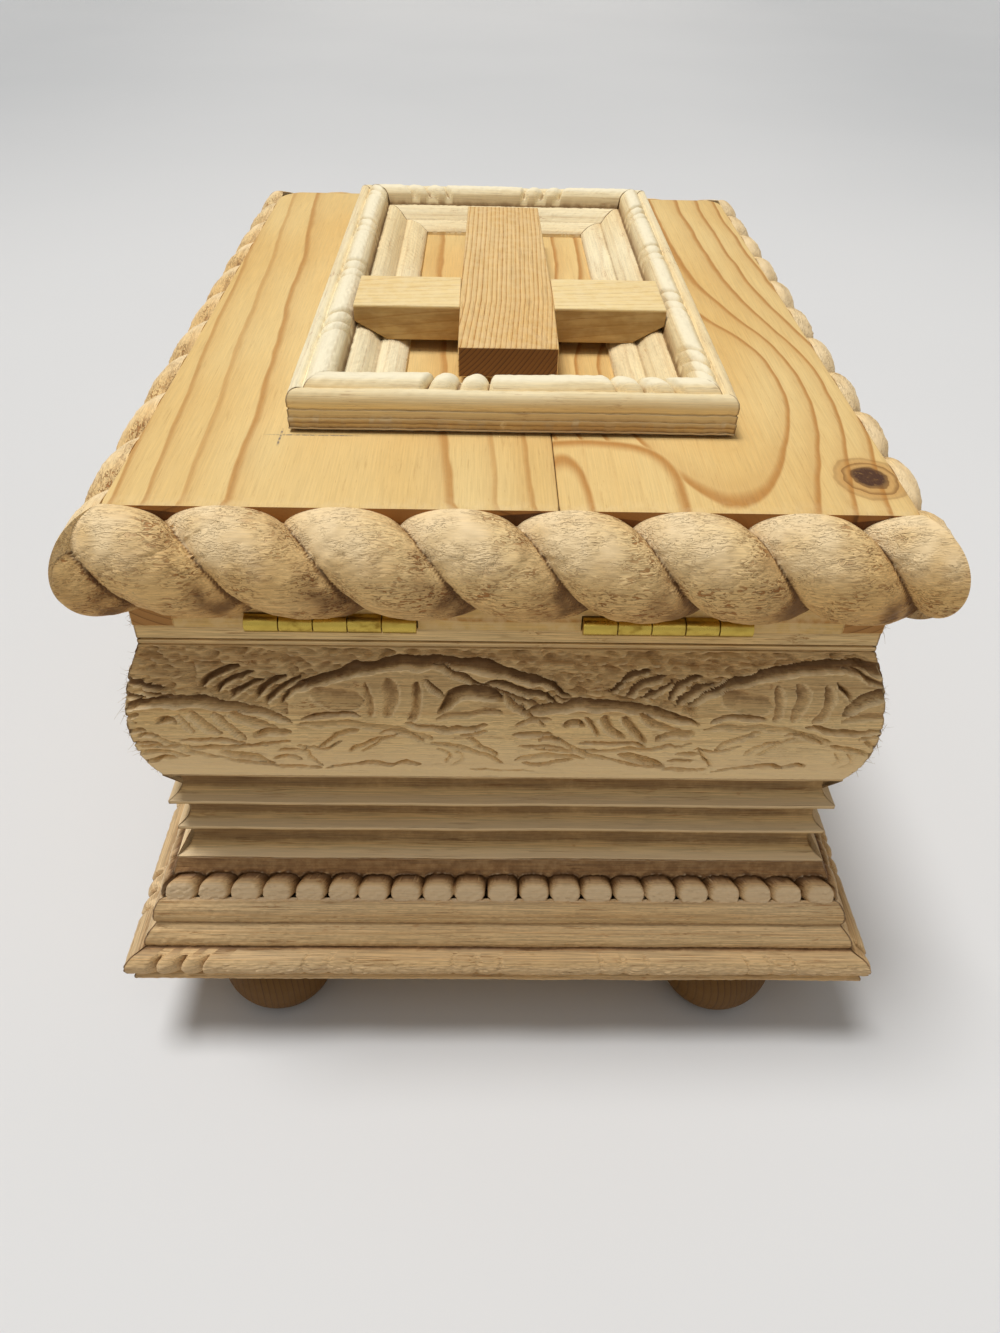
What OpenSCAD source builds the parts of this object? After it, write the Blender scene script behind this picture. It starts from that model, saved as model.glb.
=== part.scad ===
// A wooden prayer box: a rectangular case clad in mitred mouldings, standing on four ball feet,
// with a lid that turns on two butt hinges. Rope moulding runs round the lid, and a mitred
// moulding frame on top of it holds a half-lapped cross.
// X runs along the hinge side, Y from the hinge side to the far side, Z up from the ground.

/* [Lid] */
// Width of the lid board along the hinge side
lid_w = 226; // [218:1:236]
// Depth of the lid board from the hinge side to the far side
lid_d = 317; // [305:1:330]
// Thickness of the two boards that make the top of the lid
board_t = 12.7; // [12:0.1:15]
// Distance of the seam between the two boards from the middle
seam_x = 12.4; // [5:0.1:20]
// Height of the rim pieces under the lid boards
rim_h = 29; // [28:0.5:36]
// Thickness of the rim pieces
rim_t = 12.7; // [12.7:0.1:15]

/* [Rope moulding] */
// Height of the rope moulding on the edge of the lid
rope_h = 35.8; // [30:0.1:36]
// How far the rope moulding stands out from the lid
rope_b = 13.5; // [10:0.1:14]
// Distance from one strand to the next
rope_pitch = 32.25; // [26:0.25:40]
// Depth of the grooves between the strands
rope_groove = 4; // [2:0.1:4.5]
// How far a groove shifts along from its top end to its bottom end
rope_lead = 25.8; // [16:0.1:32]
// Place of a groove on the hinge side, measured from the middle
rope_start_hinge = -94.7; // [-110:0.1:-80]
// Place of a groove on the long sides, measured from the middle
rope_start_long = -149; // [-160:0.5:-130]

/* [Case] */
// Thickness of the four walls
wall_t = 12.7; // [10:0.1:15]
// Depth of the walls' outer faces inside the edge of the lid board
wall_inset = 8.3; // [7:0.1:9]
// Thickness of the bottom board
bottom_t = 18; // [12:0.5:24]

/* [Case mouldings] */
// Height of the carved moulding at the top of the case
carved_h = 60.7; // [52:0.1:70]
// Thickness of the carved moulding at its top edge
carved_top = 8; // [7:0.1:8.2]
// Greatest thickness of the carved moulding
carved_belly = 15; // [12:0.1:17]
// Thickness of the carved moulding at its bottom edge
carved_foot = 10.3; // [9:0.1:12]
// Depth of the ground behind the carved leaves
carve_depth = 2.4; // [1:0.1:3]
// Length of one repeat of the carved scroll
carve_repeat = 128.7; // [110:0.1:150]
// Height of the moulding with three coves
cove_h = 40.6; // [36:0.1:46]
// Thickness of the cove moulding at its ridges
cove_b = 10.4; // [9:0.1:12]
// Depth of each cove
cove_depth = 4.4; // [3:0.1:5]
// Height of the lobed strip below the coves
strip_h = 14.7; // [12:0.1:16]
// Distance from one lobe of the strip to the next
lobe_pitch = 11.65; // [11:0.05:13]
// Radius of a lobe
lobe_r = 5.7; // [5.5:0.05:5.8]
// How far the lobes stand out from the wall
lobe_front = 19.6; // [18.8:0.1:20]

/* [Bead moulding] */
// Width of the bead moulding used for the base and for the frame on the lid
bead_w = 33; // [32:0.1:36]
// Radius of the beads and reels
bead_r = 4.2; // [3.8:0.05:4.3]
// Length of one reel
reel_l = 37; // [30:0.5:42]
// Distance from one bead to the next
bead_pitch = 9.25; // [8.8:0.05:10]
// How far the back of the base moulding lies outside the lid board
base_out = 10; // [9.4:0.1:11]

/* [Feet] */
// Radius of the ball feet
foot_r = 22.5; // [21:0.5:25]
// Height of the feet from the ground to the base
foot_h = 35.5; // [33:0.5:38]
// Height of the middle of a foot above the ground
foot_mid = 18; // [16:0.5:21]
// Distance of the feet's middles inside the edge of the base board, left and right
foot_in_x = 34.5; // [25:0.5:45]
// Distance of the feet's middles inside the edge of the base board, near and far
foot_in_y = 12.5; // [8:0.5:20]
// Diameter of the dowels that hold the feet
dowel_d = 8; // [6:0.5:10]
// How far a dowel goes into the foot
dowel_in_foot = 18; // [12:0.5:22]
// How far a dowel goes into the bottom board
dowel_in_board = 12; // [8:0.5:16]

/* [Hinges] */
// Length of a hinge
hinge_l = 50.8; // [45:0.1:60]
// Half the distance between the middles of the two hinges
hinge_x = 50.2; // [40:0.1:60]
// Shift of both hinges along the side, to the right if more than 0
hinge_shift = -3.2; // [-10:0.1:10]
// Outer diameter of the knuckles
knuckle_d = 5.6; // [5:0.1:6]
// Thickness of the leaves
leaf_t = 1.2; // [1:0.05:1.4]
// Distance of the hinge pin outside the rim of the lid
pin_out = 1.2; // [1.2:0.05:1.6]
// Diameter of the hinge pin
pin_d = 2.6; // [2:0.1:3]
// Radial clearance of the pin in the knuckles of the lid leaf
pin_run = 0.05; // [0.03:0.01:0.08]
// Gap between neighbouring knuckles, and between a knuckle and what it turns past
knuckle_gap = 0.35; // [0.3:0.05:0.5]
// Diameter of the screw heads
screw_head_d = 4.2; // [3.6:0.1:4.6]
// Diameter of the screw shanks
screw_d = 2.2; // [1.8:0.1:2.4]
// Length of the screws
screw_l = 9.5; // [7:0.5:10]

/* [Frame and cross] */
// Outer width of the frame on the lid
frame_w = 137.5; // [130:0.5:145]
// Outer depth of the frame on the lid
frame_d = 236.6; // [225:0.2:245]
// Distance of the frame's middle to the right of the lid's middle
frame_x = 0.4; // [-5:0.1:5]
// Distance of the frame's middle beyond the lid's middle
frame_y = 4; // [-5:0.5:10]
// Distance of the upright's middle to the right of the lid's middle
upright_x = -0.7; // [-5:0.1:5]
// Thickness of the boards of the cross
cross_t = 12.7; // [10:0.1:15]
// Length of the upright of the cross
upright_l = 154.5; // [145:0.5:165]
// Width of the upright at the crossing
upright_w = 33; // [28:0.5:38]
// Width of the upright at its far end
upright_end_w = 31; // [26:0.5:36]
// Distance of the upright's near end inside the near outer edge of the frame
upright_in = 33.5; // [26:0.5:36]
// Height lost by the bevel at the upright's near end
bevel_h = 2.4; // [1:0.1:4]
// Length of that bevel
bevel_l = 36.5; // [20:0.5:40]
// Width of the crossbar
bar_w = 30.4; // [26:0.2:34]
// Clearance between each end of the crossbar and the bead rows
bar_clear = 0.6; // [0.4:0.1:2]
// Distance of the crossbar's near edge from the upright's near end
bar_y = 31.5; // [28:0.5:60]
// Length of the cut-off lower corners at the ends of the crossbar
nick_l = 11.4; // [11:0.1:13]
// Height of those cut-off corners
nick_h = 6.4; // [6.2:0.1:7]

/* [Hidden] */
$fn = 64;
hx = lid_w / 2;
hy = lid_d / 2;
wall_x = hx - wall_inset;
wall_y = hy - wall_inset;
base_x = hx + base_out;
base_y = hy + base_out;
base_top = foot_h + bead_w;
strip_top = base_top + strip_h;
cove_top = strip_top + cove_h;
joint_z = cove_top + carved_h;
board_z = joint_z + rim_h;
lid_z = board_z + board_t;
floor_z = foot_h + bottom_t;
foot_x = base_x - foot_in_x;
foot_y = base_y - foot_in_y;
// bead moulding section: heights above its back, places across from its outer edge
side_h = 8.2;
quirk_d = 0.7;
roll_r = 2.6;
bead_mid = 9.2;
bead_z = 11;
bead_ledge_h = 11.2;
ridge_in = 14.4;
ridge_h = 8.2;
valley_in = 23.4;
slope_h = 4.2;
edge_h = 1.5;
// carved scroll in one repeat: leaves with base, tip and half width, and stems through three
// points with half width, all along and above the lower edge of the moulding
carve_leaves = [[[4, 31], [27, 43], 5], [[22, 28.5], [43, 40.5], 5], [[60, 22], [75, 41], 8],
    [[76, 20.5], [103, 31], 5.5], [[44, 8], [62, 17], 4.5], [[62, 5], [79, 15], 4.5],
    [[80, 5], [95, 13.5], 4], [[98, 5], [113, 14], 4], [[115, 5], [129, 14], 4],
    [[-4, 24], [7, 14], 2.6], [[7, 26], [18, 14], 2.6], [[17, 25], [28, 13], 2.6]];
carve_stems = [[[-22, 19], [6, 28], [35, 12], 2], [[29, 27], [79, 46], [129, 31], 2.4],
    [[37, 19], [62, 22.5], [107, 19], 1.8]];
// height of the plain edge below the scroll, and of the two fillets above it
carve_edge = 2.2;
fillet_h = 7;
// length of the plain end before a mitre, and where the leaves are rooted in the ground
carve_end = 12;
carve_root = 4;
// where the pattern of each moulding starts, on the hinge side, right, far and left
scroll_starts = [-103, -60, 14, 40];
base_starts = [18.7, 8, -12, 14];
frame_starts = [11.4, -9.3, 9, -20];
// hinges
knuckles = 5;
axis_y = -hy - pin_out;
axis_z = joint_z + knuckle_d / 2;
leaf_w = rim_t + pin_out;
screw_y = leaf_w - screw_head_d / 2 - 0.5;
screw_cone = leaf_t - 0.2;
pitch_k = hinge_l / knuckles;
// frame and cross
frame_near = frame_y - frame_d / 2;
cross_z = lid_z + slope_h;
cross_near = frame_near + upright_in;
bar_near = cross_near + bar_y;
bar_half = frame_w / 2 - bead_mid - bead_r - bar_clear;
lap_z = cross_z + cross_t / 2;
rope_cols = 8;
rope_rows = 12;

// middle of the circle through three points of a section
function circle_mid(a, b, c) =
    let (d = 2 * (a[0] * (b[1] - c[1]) + b[0] * (c[1] - a[1]) + c[0] * (a[1] - b[1])))
    [((a * a) * (b[1] - c[1]) + (b * b) * (c[1] - a[1]) + (c * c) * (a[1] - b[1])) / d,
     ((a * a) * (c[0] - b[0]) + (b * b) * (a[0] - c[0]) + (c * c) * (b[0] - a[0])) / d];

// the disc bounded by the circle through three points
module disc_through(a, b, c) {
    m = circle_mid(a, b, c);
    translate(m)
        circle(norm(a - m), $fn = 96);
}

// turn a piece made for the hinge side to side 0 hinge, 1 right, 2 far, 3 left
module on_side(side) {
    rotate([0, 0, 90 * side])
        children();
}

// half-length of a side, and its distance from the middle
function half_len(side, x, y) = side % 2 == 0 ? x : y;
function half_off(side, x, y) = side % 2 == 0 ? y : x;

// a length along X with the given section: section X points out of the box, section Y up
module along(l, d) {
    translate([-l, -d, 0])
        mirror([0, 1, 0])
            rotate([90, 0, 90])
                linear_extrude(2 * l)
                    children();
}

// the space of one side of a ring whose corners are mitred at 45 degrees
module mitre_space(l, d, inward, outward, h) {
    translate([0, 0, -h])
        linear_extrude(2 * h)
            polygon([[-l - outward, -d - outward], [l + outward, -d - outward],
                [l - inward, -d + inward], [-l + inward, -d + inward]]);
}

// section of the full belly of the carved moulding, drawn back by the depth of its ground
module belly_section(back) {
    low = [carved_foot - back, 0];
    mid = [carved_belly - back, carved_h * 0.46];
    high = [carved_top + 0.2 - back, carved_h - 7.4];
    intersection() {
        square([carved_belly + 1, carved_h - fillet_h]);
        disc_through(low, mid, high);
    }
}

// section of the carved moulding without its scroll: its ground, and two small fillets above
module carved_section() {
    belly_section(carve_depth);
    translate([0, carved_h - 7.2])
        square([carved_top - 1, 7.2]);
    translate([0, carved_h - 6.6])
        square([carved_top, 1.3]);
    translate([0, carved_h - 4.5])
        square([carved_top, 4.5]);
}

// a pointed leaf bounded by two arcs from its base to its tip
module leaf_outline(base, tip, half) {
    way = tip - base;
    long = norm(way);
    r = (long * long / 4 + half * half) / (2 * half);
    translate(base)
        rotate(atan2(way[1], way[0]))
            intersection() {
                translate([long / 2, r - half])
                    circle(r);
                translate([long / 2, half - r])
                    circle(r);
            }
}

// a stem that follows the arc through three points
module stem_outline(a, b, c, half) {
    m = circle_mid(a, b, c);
    r = norm(a - m);
    intersection() {
        translate(m)
            difference() {
                circle(r + half, $fn = 96);
                circle(r - half, $fn = 96);
            }
        polygon([m, m + 1.6 * (a - m), m + 1.6 * (b - m), m + 1.6 * (c - m)]);
    }
}

// what stands at the full height of the belly: the scroll, a plain edge and the plain ends
module scroll_outline(l, start) {
    reach = l + carved_belly + 1;
    high = carved_h - fillet_h;
    n = ceil(reach / carve_repeat) + 1;
    intersection() {
        translate([-reach, 0])
            square([2 * reach, high]);
        union() {
            translate([-reach, 0])
                square([2 * reach, carve_edge]);
            for (s = [-1, 1])
                translate([s > 0 ? reach - carve_end : -reach, 0])
                    square([carve_end, high]);
            for (i = [-n : n])
                if (abs(start + (i + 0.5) * carve_repeat) < reach + carve_repeat)
                    translate([start + i * carve_repeat, 0]) {
                        for (leaf = carve_leaves)
                            leaf_outline(leaf[0], leaf[1], leaf[2]);
                        for (stem = carve_stems)
                            stem_outline(stem[0], stem[1], stem[2], stem[3]);
                    }
        }
    }
}

// section of the cove moulding: three hollows between ridges
module cove_section() {
    third = cove_h / 3;
    chord = third - 1;
    r = (chord * chord / 4 + cove_depth * cove_depth) / (2 * cove_depth);
    difference() {
        polygon([[0, 0], [cove_b + 1.6, 0], [cove_b + 1.6, 0.6], [cove_b - 0.4, third],
            [cove_b + 0.2, 2 * third], [cove_b, cove_h], [0, cove_h]]);
        for (i = [0 : 2])
            translate([cove_b - cove_depth + r + (i == 0 ? 0.4 : 0), (i + 0.5) * third])
                circle(r);
    }
}

// section of the bead moulding, lying on its back with its outer edge at X = 0
module bead_section() {
    difference() {
        union() {
            polygon([[0, 0], [0, side_h], [-0.3, side_h + roll_r], [-roll_r, side_h + 1.8 * roll_r],
                [-2 * roll_r, bead_ledge_h], [-ridge_in + 0.8, bead_ledge_h], [-ridge_in, ridge_h - 0.6],
                [-ridge_in - 0.8, ridge_h], [-ridge_in - 3.6, ridge_h - 0.3],
                [-ridge_in - 6, ridge_h - 1.7], [-valley_in + 1.6, slope_h + 0.4],
                [-valley_in, slope_h - 0.5], [-valley_in - 1, slope_h], [-valley_in - 4.2, slope_h],
                [-valley_in - 6.4, slope_h - 0.6], [-valley_in - 8, slope_h - 1.5],
                [-bead_w, edge_h], [-bead_w, 0]]);
            translate([-roll_r, side_h + roll_r])
                circle(roll_r);
        }
        translate([-quirk_d, side_h - 0.8])
            square([2, 0.8]);
    }
}

// bead and reel row along X, with a reel in the middle shifted by start
module bead_row(l, start) {
    period = reel_l + 2 * bead_pitch;
    n = ceil(l / period) + 1;
    cut = 0.4 * bead_r;
    core_r = 0.5 * bead_r;
    rotate([0, 90, 0])
        rotate_extrude()
            intersection() {
                translate([0, -l])
                    square([2 * bead_r, 2 * l]);
                union() {
                    translate([0, -l])
                        square([core_r, 2 * l]);
                    for (i = [-n : n])
                        translate([0, start + i * period]) {
                            polygon([[0, -reel_l / 2], [bead_r - cut, -reel_l / 2],
                                [bead_r, -reel_l / 2 + cut], [bead_r, reel_l / 2 - cut],
                                [bead_r - cut, reel_l / 2], [0, reel_l / 2]]);
                            for (k = [0.5, 1.5])
                                translate([0, reel_l / 2 + k * bead_pitch])
                                    circle(bead_r);
                        }
                }
            }
}

// one mitred length of bead moulding lying on its back; l and d reach its outer edge
module bead_length(l, d, start) {
    intersection() {
        union() {
            along(l, d)
                bead_section();
            translate([0, -d + bead_mid, bead_z])
                bead_row(l, start);
        }
        mitre_space(l, d, bead_w + 1, 0, bead_z + bead_r + 1);
    }
}

// one side of the base: the same moulding, its back upright and its beads lowest
module base_length(side, start) {
    l = half_len(side, base_x, base_y);
    d = half_off(side, base_x, base_y);
    t = bead_z + bead_r;
    on_side(side)
        intersection() {
            translate([0, -d, foot_h])
                union() {
                    rotate([90, 0, 0])
                        along(l + t, 0)
                            bead_section();
                    translate([0, -bead_z, bead_mid])
                        bead_row(l + t, start);
                }
            translate([0, 0, foot_h])
                mitre_space(l, d, 1, t + 1, bead_w + 1);
        }
}

// section of the lobed strip behind its lobes
module strip_section() {
    back = lobe_front - lobe_r;
    polygon([[0, 0], [back + 0.6, 0], [back + 0.6, strip_h - 6], [back - 0.4, strip_h - 2.4],
        [cove_b + 1.6, strip_h], [0, strip_h]]);
}

// row of lobes with flat lower edges
module strip_length(side) {
    l = half_len(side, wall_x, wall_y);
    d = half_off(side, wall_x, wall_y);
    reach = l + lobe_front;
    n = floor(reach / lobe_pitch);
    lobe_z = 3.4;
    on_side(side)
        translate([0, 0, base_top])
            intersection() {
                union() {
                    along(reach, d)
                        strip_section();
                    translate([0, -d - lobe_front + lobe_r, lobe_z])
                        rotate([0, 90, 0])
                            rotate_extrude()
                                intersection() {
                                    translate([0, -reach])
                                        square([2 * lobe_r, 2 * reach]);
                                    union()
                                        for (i = [-n : n])
                                            translate([0, i * lobe_pitch])
                                                circle(lobe_r);
                                }
                }
                mitre_space(l, d, 0, lobe_front + 1, strip_h + 1);
                translate([-reach, -d - lobe_front - 1, 0])
                    cube([2 * reach, lobe_front + 2, strip_h]);
            }
}

// one mitred side of a moulding on the wall
module wall_moulding(side, z, outward, h) {
    l = half_len(side, wall_x, wall_y);
    d = half_off(side, wall_x, wall_y);
    on_side(side)
        translate([0, 0, z])
            intersection() {
                along(l + outward, d)
                    children();
                mitre_space(l, d, 0, outward + 1, h + 1);
            }
}

// depth of the rope's groove at a place along it and an angle round it from the top
function rope_cut(x, a, start) =
    let (turn = (x - start - rope_lead * a / 180) / rope_pitch)
    rope_groove * pow(0.5 + 0.5 * cos(360 * turn), 2);
// how far the rope stands out there
function rope_out(x, a, start) = (rope_b - rope_cut(x, a, start)) * sin(a);
// the place where that outline meets the mitre at the end of the side
function rope_end(l, s, a, start, k = 0, x = 0) =
    k == 7 ? x : rope_end(l, s, a, start, k + 1, s * (l + rope_out(k == 0 ? s * l : x, a, start)));
function rope_point(x, a, start) =
    let (c = rope_cut(x, a, start) / rope_b)
    [x, -rope_out(x, a, start), rope_h / 2 * cos(a) * (1 - c) - rope_h / 2];

// one mitred length of rope moulding, its back flat and its top at Z = 0
module rope_length(side, start) {
    l = half_len(side, hx, hy);
    d = half_off(side, hx, hy);
    n = round(2 * l / rope_pitch * rope_cols);
    m = rope_rows;
    ends = [for (i = [0 : m]) [rope_end(l, -1, i * 180 / m, start), rope_end(l, 1, i * 180 / m, start)]];
    points = [for (j = [0 : n]) for (i = [0 : m])
        rope_point(ends[i][0] + (ends[i][1] - ends[i][0]) * j / n, i * 180 / m, start)];
    function at(j, i) = j * (m + 1) + i;
    skin = [for (j = [0 : n - 1]) for (i = [0 : m - 1]) for (t = [0 : 1])
        t == 0 ? [at(j, i), at(j + 1, i), at(j + 1, i + 1)] : [at(j, i), at(j + 1, i + 1), at(j, i + 1)]];
    back = [for (j = [0 : n - 1]) for (t = [0 : 1])
        t == 0 ? [at(j, 0), at(j, m), at(j + 1, m)] : [at(j, 0), at(j + 1, m), at(j + 1, 0)]];
    caps = [[for (i = [0 : m]) at(0, i)], [for (i = [m : -1 : 0]) at(n, i)]];
    on_side(side)
        translate([0, -d, lid_z])
            polyhedron(points, concat(skin, back, caps));
}

module frame_length(side, start) {
    l = half_len(side, frame_w / 2, frame_d / 2);
    d = half_off(side, frame_w / 2, frame_d / 2);
    translate([frame_x, frame_y, lid_z])
        on_side(side)
            bead_length(l, d, start);
}

// the places of the two screws in each leaf, measured from the middle of the hinge
function screw_places() = [-pitch_k * 1.5, pitch_k * 1.5];

// middle of the left (-1) or right (1) hinge
function hinge_mid(s) = hinge_shift + s * hinge_x;

// one countersunk screw, head up
module screw() {
    translate([0, 0, -screw_cone])
        cylinder(h = screw_cone, d1 = screw_d, d2 = screw_head_d);
    translate([0, 0, -screw_l])
        cylinder(h = screw_l - screw_cone, d = screw_d);
}

module screws_case(s) {
    for (x = screw_places())
        translate([hinge_mid(s) + x, axis_y + screw_y, joint_z + leaf_t])
            screw();
}

module screws_lid(s) {
    for (x = screw_places())
        translate([hinge_mid(s) + x, axis_y + screw_y, joint_z + knuckle_d - leaf_t])
            mirror([0, 0, 1])
                screw();
}

// one hinge leaf lying on its outer face at Z = 0, pin above it; knuckles first, first + 2 and so on
module leaf(first, bore) {
    clear = knuckle_d / 2 + knuckle_gap;
    difference() {
        union() {
            translate([-hinge_l / 2, clear, 0])
                cube([hinge_l, leaf_w - clear, leaf_t]);
            for (k = [first : 2 : knuckles - 1])
                translate([-hinge_l / 2 + k * pitch_k, 0, 0]) {
                    g0 = k == 0 ? 0 : knuckle_gap / 2;
                    g1 = k == knuckles - 1 ? 0 : knuckle_gap / 2;
                    translate([g0, 0, knuckle_d / 2])
                        rotate([0, 90, 0])
                            cylinder(h = pitch_k - g0 - g1, d = knuckle_d);
                    translate([g0, 0, 0])
                        cube([pitch_k - g0 - g1, clear + 0.5, leaf_t]);
                }
        }
        translate([-hinge_l / 2 - 1, 0, knuckle_d / 2])
            rotate([0, 90, 0])
                cylinder(h = hinge_l + 2, d = bore);
    }
}

module case_leaf(s) {
    difference() {
        translate([hinge_mid(s), axis_y, joint_z])
            leaf(0, pin_d);
        screws_case(s);
    }
}

module lid_leaf(s) {
    difference() {
        translate([hinge_mid(s), axis_y, joint_z + knuckle_d])
            mirror([0, 0, 1])
                leaf(1, pin_d + 2 * pin_run);
        screws_lid(s);
    }
}

module hinge_pin(s) {
    translate([hinge_mid(s) - hinge_l / 2, axis_y, axis_z])
        rotate([0, 90, 0])
            cylinder(h = hinge_l, d = pin_d);
}

module bottom_board() {
    color("#d2b27c")
        difference() {
            translate([-base_x, -base_y, foot_h])
                cube([2 * base_x, 2 * base_y, bottom_t]);
            foot_dowels();
        }
}

// a wall that runs the whole depth
module long_wall(s) {
    color("#d8b985")
        translate([s > 0 ? wall_x - wall_t : -wall_x, -wall_y, floor_z])
            cube([wall_t, 2 * wall_y, joint_z - floor_z]);
}

// a wall between the two long ones
module short_wall(s) {
    x = wall_x - wall_t;
    color("#d8b985")
        difference() {
            translate([-x, s > 0 ? wall_y - wall_t : -wall_y, floor_z])
                cube([2 * x, wall_t, joint_z - floor_z]);
            if (s < 0) {
                screws_case(-1);
                screws_case(1);
            }
        }
}

module hinge_wall() {
    short_wall(-1);
}

module far_wall() {
    short_wall(1);
}

module left_wall() {
    long_wall(-1);
}

module right_wall() {
    long_wall(1);
}

// the scroll of one side, cut from the full belly
module scroll(side, start) {
    l = half_len(side, wall_x, wall_y);
    d = half_off(side, wall_x, wall_y);
    on_side(side)
        translate([0, 0, cove_top])
            intersection() {
                along(l + carved_belly + 1, d)
                    belly_section(0);
                mitre_space(l, d, 0, carved_belly + 2, carved_h + 1);
                translate([0, -d - carve_root, 0])
                    rotate([90, 0, 0])
                        linear_extrude(carved_belly)
                            scroll_outline(l, start);
            }
}

module carved_moulding(side) {
    color("#d9c08f") {
        wall_moulding(side, cove_top, carved_belly + 1, carved_h)
            carved_section();
        scroll(side, scroll_starts[side]);
    }
}

module cove_moulding(side) {
    color("#cdb17d")
        wall_moulding(side, strip_top, cove_b + 2, cove_h)
            cove_section();
}

module lobe_strip(side) {
    color("#c9ab76")
        strip_length(side);
}

module base_moulding(side) {
    color("#d3b883")
        base_length(side, base_starts[side]);
}

module foot(sx, sy) {
    color("#8a5f34")
        translate([sx * foot_x, sy * foot_y, 0])
            difference() {
                intersection() {
                    translate([0, 0, foot_mid])
                        sphere(foot_r);
                    translate([-foot_r, -foot_r, 0])
                        cube([2 * foot_r, 2 * foot_r, foot_h]);
                }
                translate([0, 0, foot_h - dowel_in_foot])
                    cylinder(h = foot_h, d = dowel_d);
            }
}

module foot_dowels() {
    color("#caa66c")
        for (sx = [-1, 1])
            for (sy = [-1, 1])
                translate([sx * foot_x, sy * foot_y, foot_h - dowel_in_foot])
                    cylinder(h = dowel_in_foot + dowel_in_board, d = dowel_d);
}

module case_screws() {
    color("#b98a2c") {
        screws_case(-1);
        screws_case(1);
    }
}

module lid_screws() {
    color("#b98a2c") {
        screws_lid(-1);
        screws_lid(1);
    }
}

module lid_plank(x0, x1) {
    color("#e3c384")
        translate([x0, -hy, board_z])
            cube([x1 - x0, lid_d, board_t]);
}

module short_rim(s) {
    x = hx - rim_t;
    color("#dfc08a")
        difference() {
            translate([-x, s > 0 ? hy - rim_t : -hy, joint_z])
                cube([2 * x, rim_t, rim_h]);
            if (s < 0)
                for (h = [-1, 1]) {
                    translate([hinge_mid(h) - hinge_l / 2 - knuckle_gap, -hy - 1, joint_z - 1])
                        cube([hinge_l + 2 * knuckle_gap, rim_t + 2, knuckle_d + 1]);
                    screws_lid(h);
                }
        }
}

module long_rim(s) {
    color("#dfc08a")
        translate([s > 0 ? hx - rim_t : -hx, -hy, joint_z])
            cube([rim_t, lid_d, rim_h]);
}

module hinge_rim() {
    short_rim(-1);
}

module far_rim() {
    short_rim(1);
}

module left_rim() {
    long_rim(-1);
}

module right_rim() {
    long_rim(1);
}

module rope(side, start) {
    color("#d0ad75")
        rope_length(side, start);
}

module frame_rail(side) {
    color("#e6d3a8")
        frame_length(side, frame_starts[side]);
}

module cross_upright() {
    w0 = upright_w / 2;
    w1 = upright_end_w / 2;
    far = bar_y + bar_w;
    color("#dcb870")
        translate([upright_x, cross_near, cross_z])
            difference() {
                linear_extrude(cross_t)
                    polygon([[-w0, 0], [w0, 0], [w0, far], [w1, upright_l], [-w1, upright_l], [-w0, far]]);
                translate([-w0 - 1, 0, 0])
                    rotate([90, 0, 90])
                        linear_extrude(2 * w0 + 2)
                            polygon([[-1, cross_t + 1], [-1, cross_t - bevel_h], [0, cross_t - bevel_h],
                                [bevel_l, cross_t], [bevel_l, cross_t + 1]]);
                translate([-w0 - 1, bar_y, -1])
                    cube([2 * w0 + 2, bar_w, cross_t / 2 + 1]);
            }
}

module cross_bar() {
    color("#e8cf9a")
        translate([frame_x, bar_near, cross_z])
            difference() {
                translate([0, bar_w, 0])
                    rotate([90, 0, 0])
                        linear_extrude(bar_w)
                            polygon([[-bar_half, nick_h], [-bar_half + nick_l, 0], [bar_half - nick_l, 0],
                                [bar_half, nick_h], [bar_half, cross_t - 0.4], [-bar_half, cross_t - 0.4]]);
                translate([upright_x - frame_x - upright_w / 2, -1, cross_t / 2])
                    cube([upright_w, bar_w + 2, cross_t]);
            }
}

bottom_board();
hinge_wall();
far_wall();
left_wall();
right_wall();
carved_moulding(0);  // carved_moulding_hinge
carved_moulding(1);  // carved_moulding_right
carved_moulding(2);  // carved_moulding_far
carved_moulding(3);  // carved_moulding_left
cove_moulding(0);  // cove_moulding_hinge
cove_moulding(1);  // cove_moulding_right
cove_moulding(2);  // cove_moulding_far
cove_moulding(3);  // cove_moulding_left
lobe_strip(0);  // lobe_strip_hinge
lobe_strip(1);  // lobe_strip_right
lobe_strip(2);  // lobe_strip_far
lobe_strip(3);  // lobe_strip_left
base_moulding(0);  // base_moulding_hinge
base_moulding(1);  // base_moulding_right
base_moulding(2);  // base_moulding_far
base_moulding(3);  // base_moulding_left
foot(-1, -1);  // foot_near_left
foot(1, -1);  // foot_near_right
foot(-1, 1);  // foot_far_left
foot(1, 1);  // foot_far_right
foot_dowels();
color("#d8a93c") case_leaf(-1);  // case_leaf_left
color("#d8a93c") case_leaf(1);  // case_leaf_right
color("#c0902c") hinge_pin(-1);  // hinge_pin_left
color("#c0902c") hinge_pin(1);  // hinge_pin_right
case_screws();
lid_plank(-hx, seam_x);  // lid_plank_left
lid_plank(seam_x, hx);  // lid_plank_right
hinge_rim();
far_rim();
left_rim();
right_rim();
rope(0, rope_start_hinge);  // rope_hinge
rope(1, rope_start_long);  // rope_right
rope(2, rope_start_hinge);  // rope_far
rope(3, rope_start_long);  // rope_left
frame_rail(0);  // frame_rail_near
frame_rail(1);  // frame_rail_right
frame_rail(2);  // frame_rail_far
frame_rail(3);  // frame_rail_left
cross_upright();
cross_bar();
color("#d8a93c") lid_leaf(-1);  // lid_leaf_left
color("#d8a93c") lid_leaf(1);  // lid_leaf_right
lid_screws();
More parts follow.
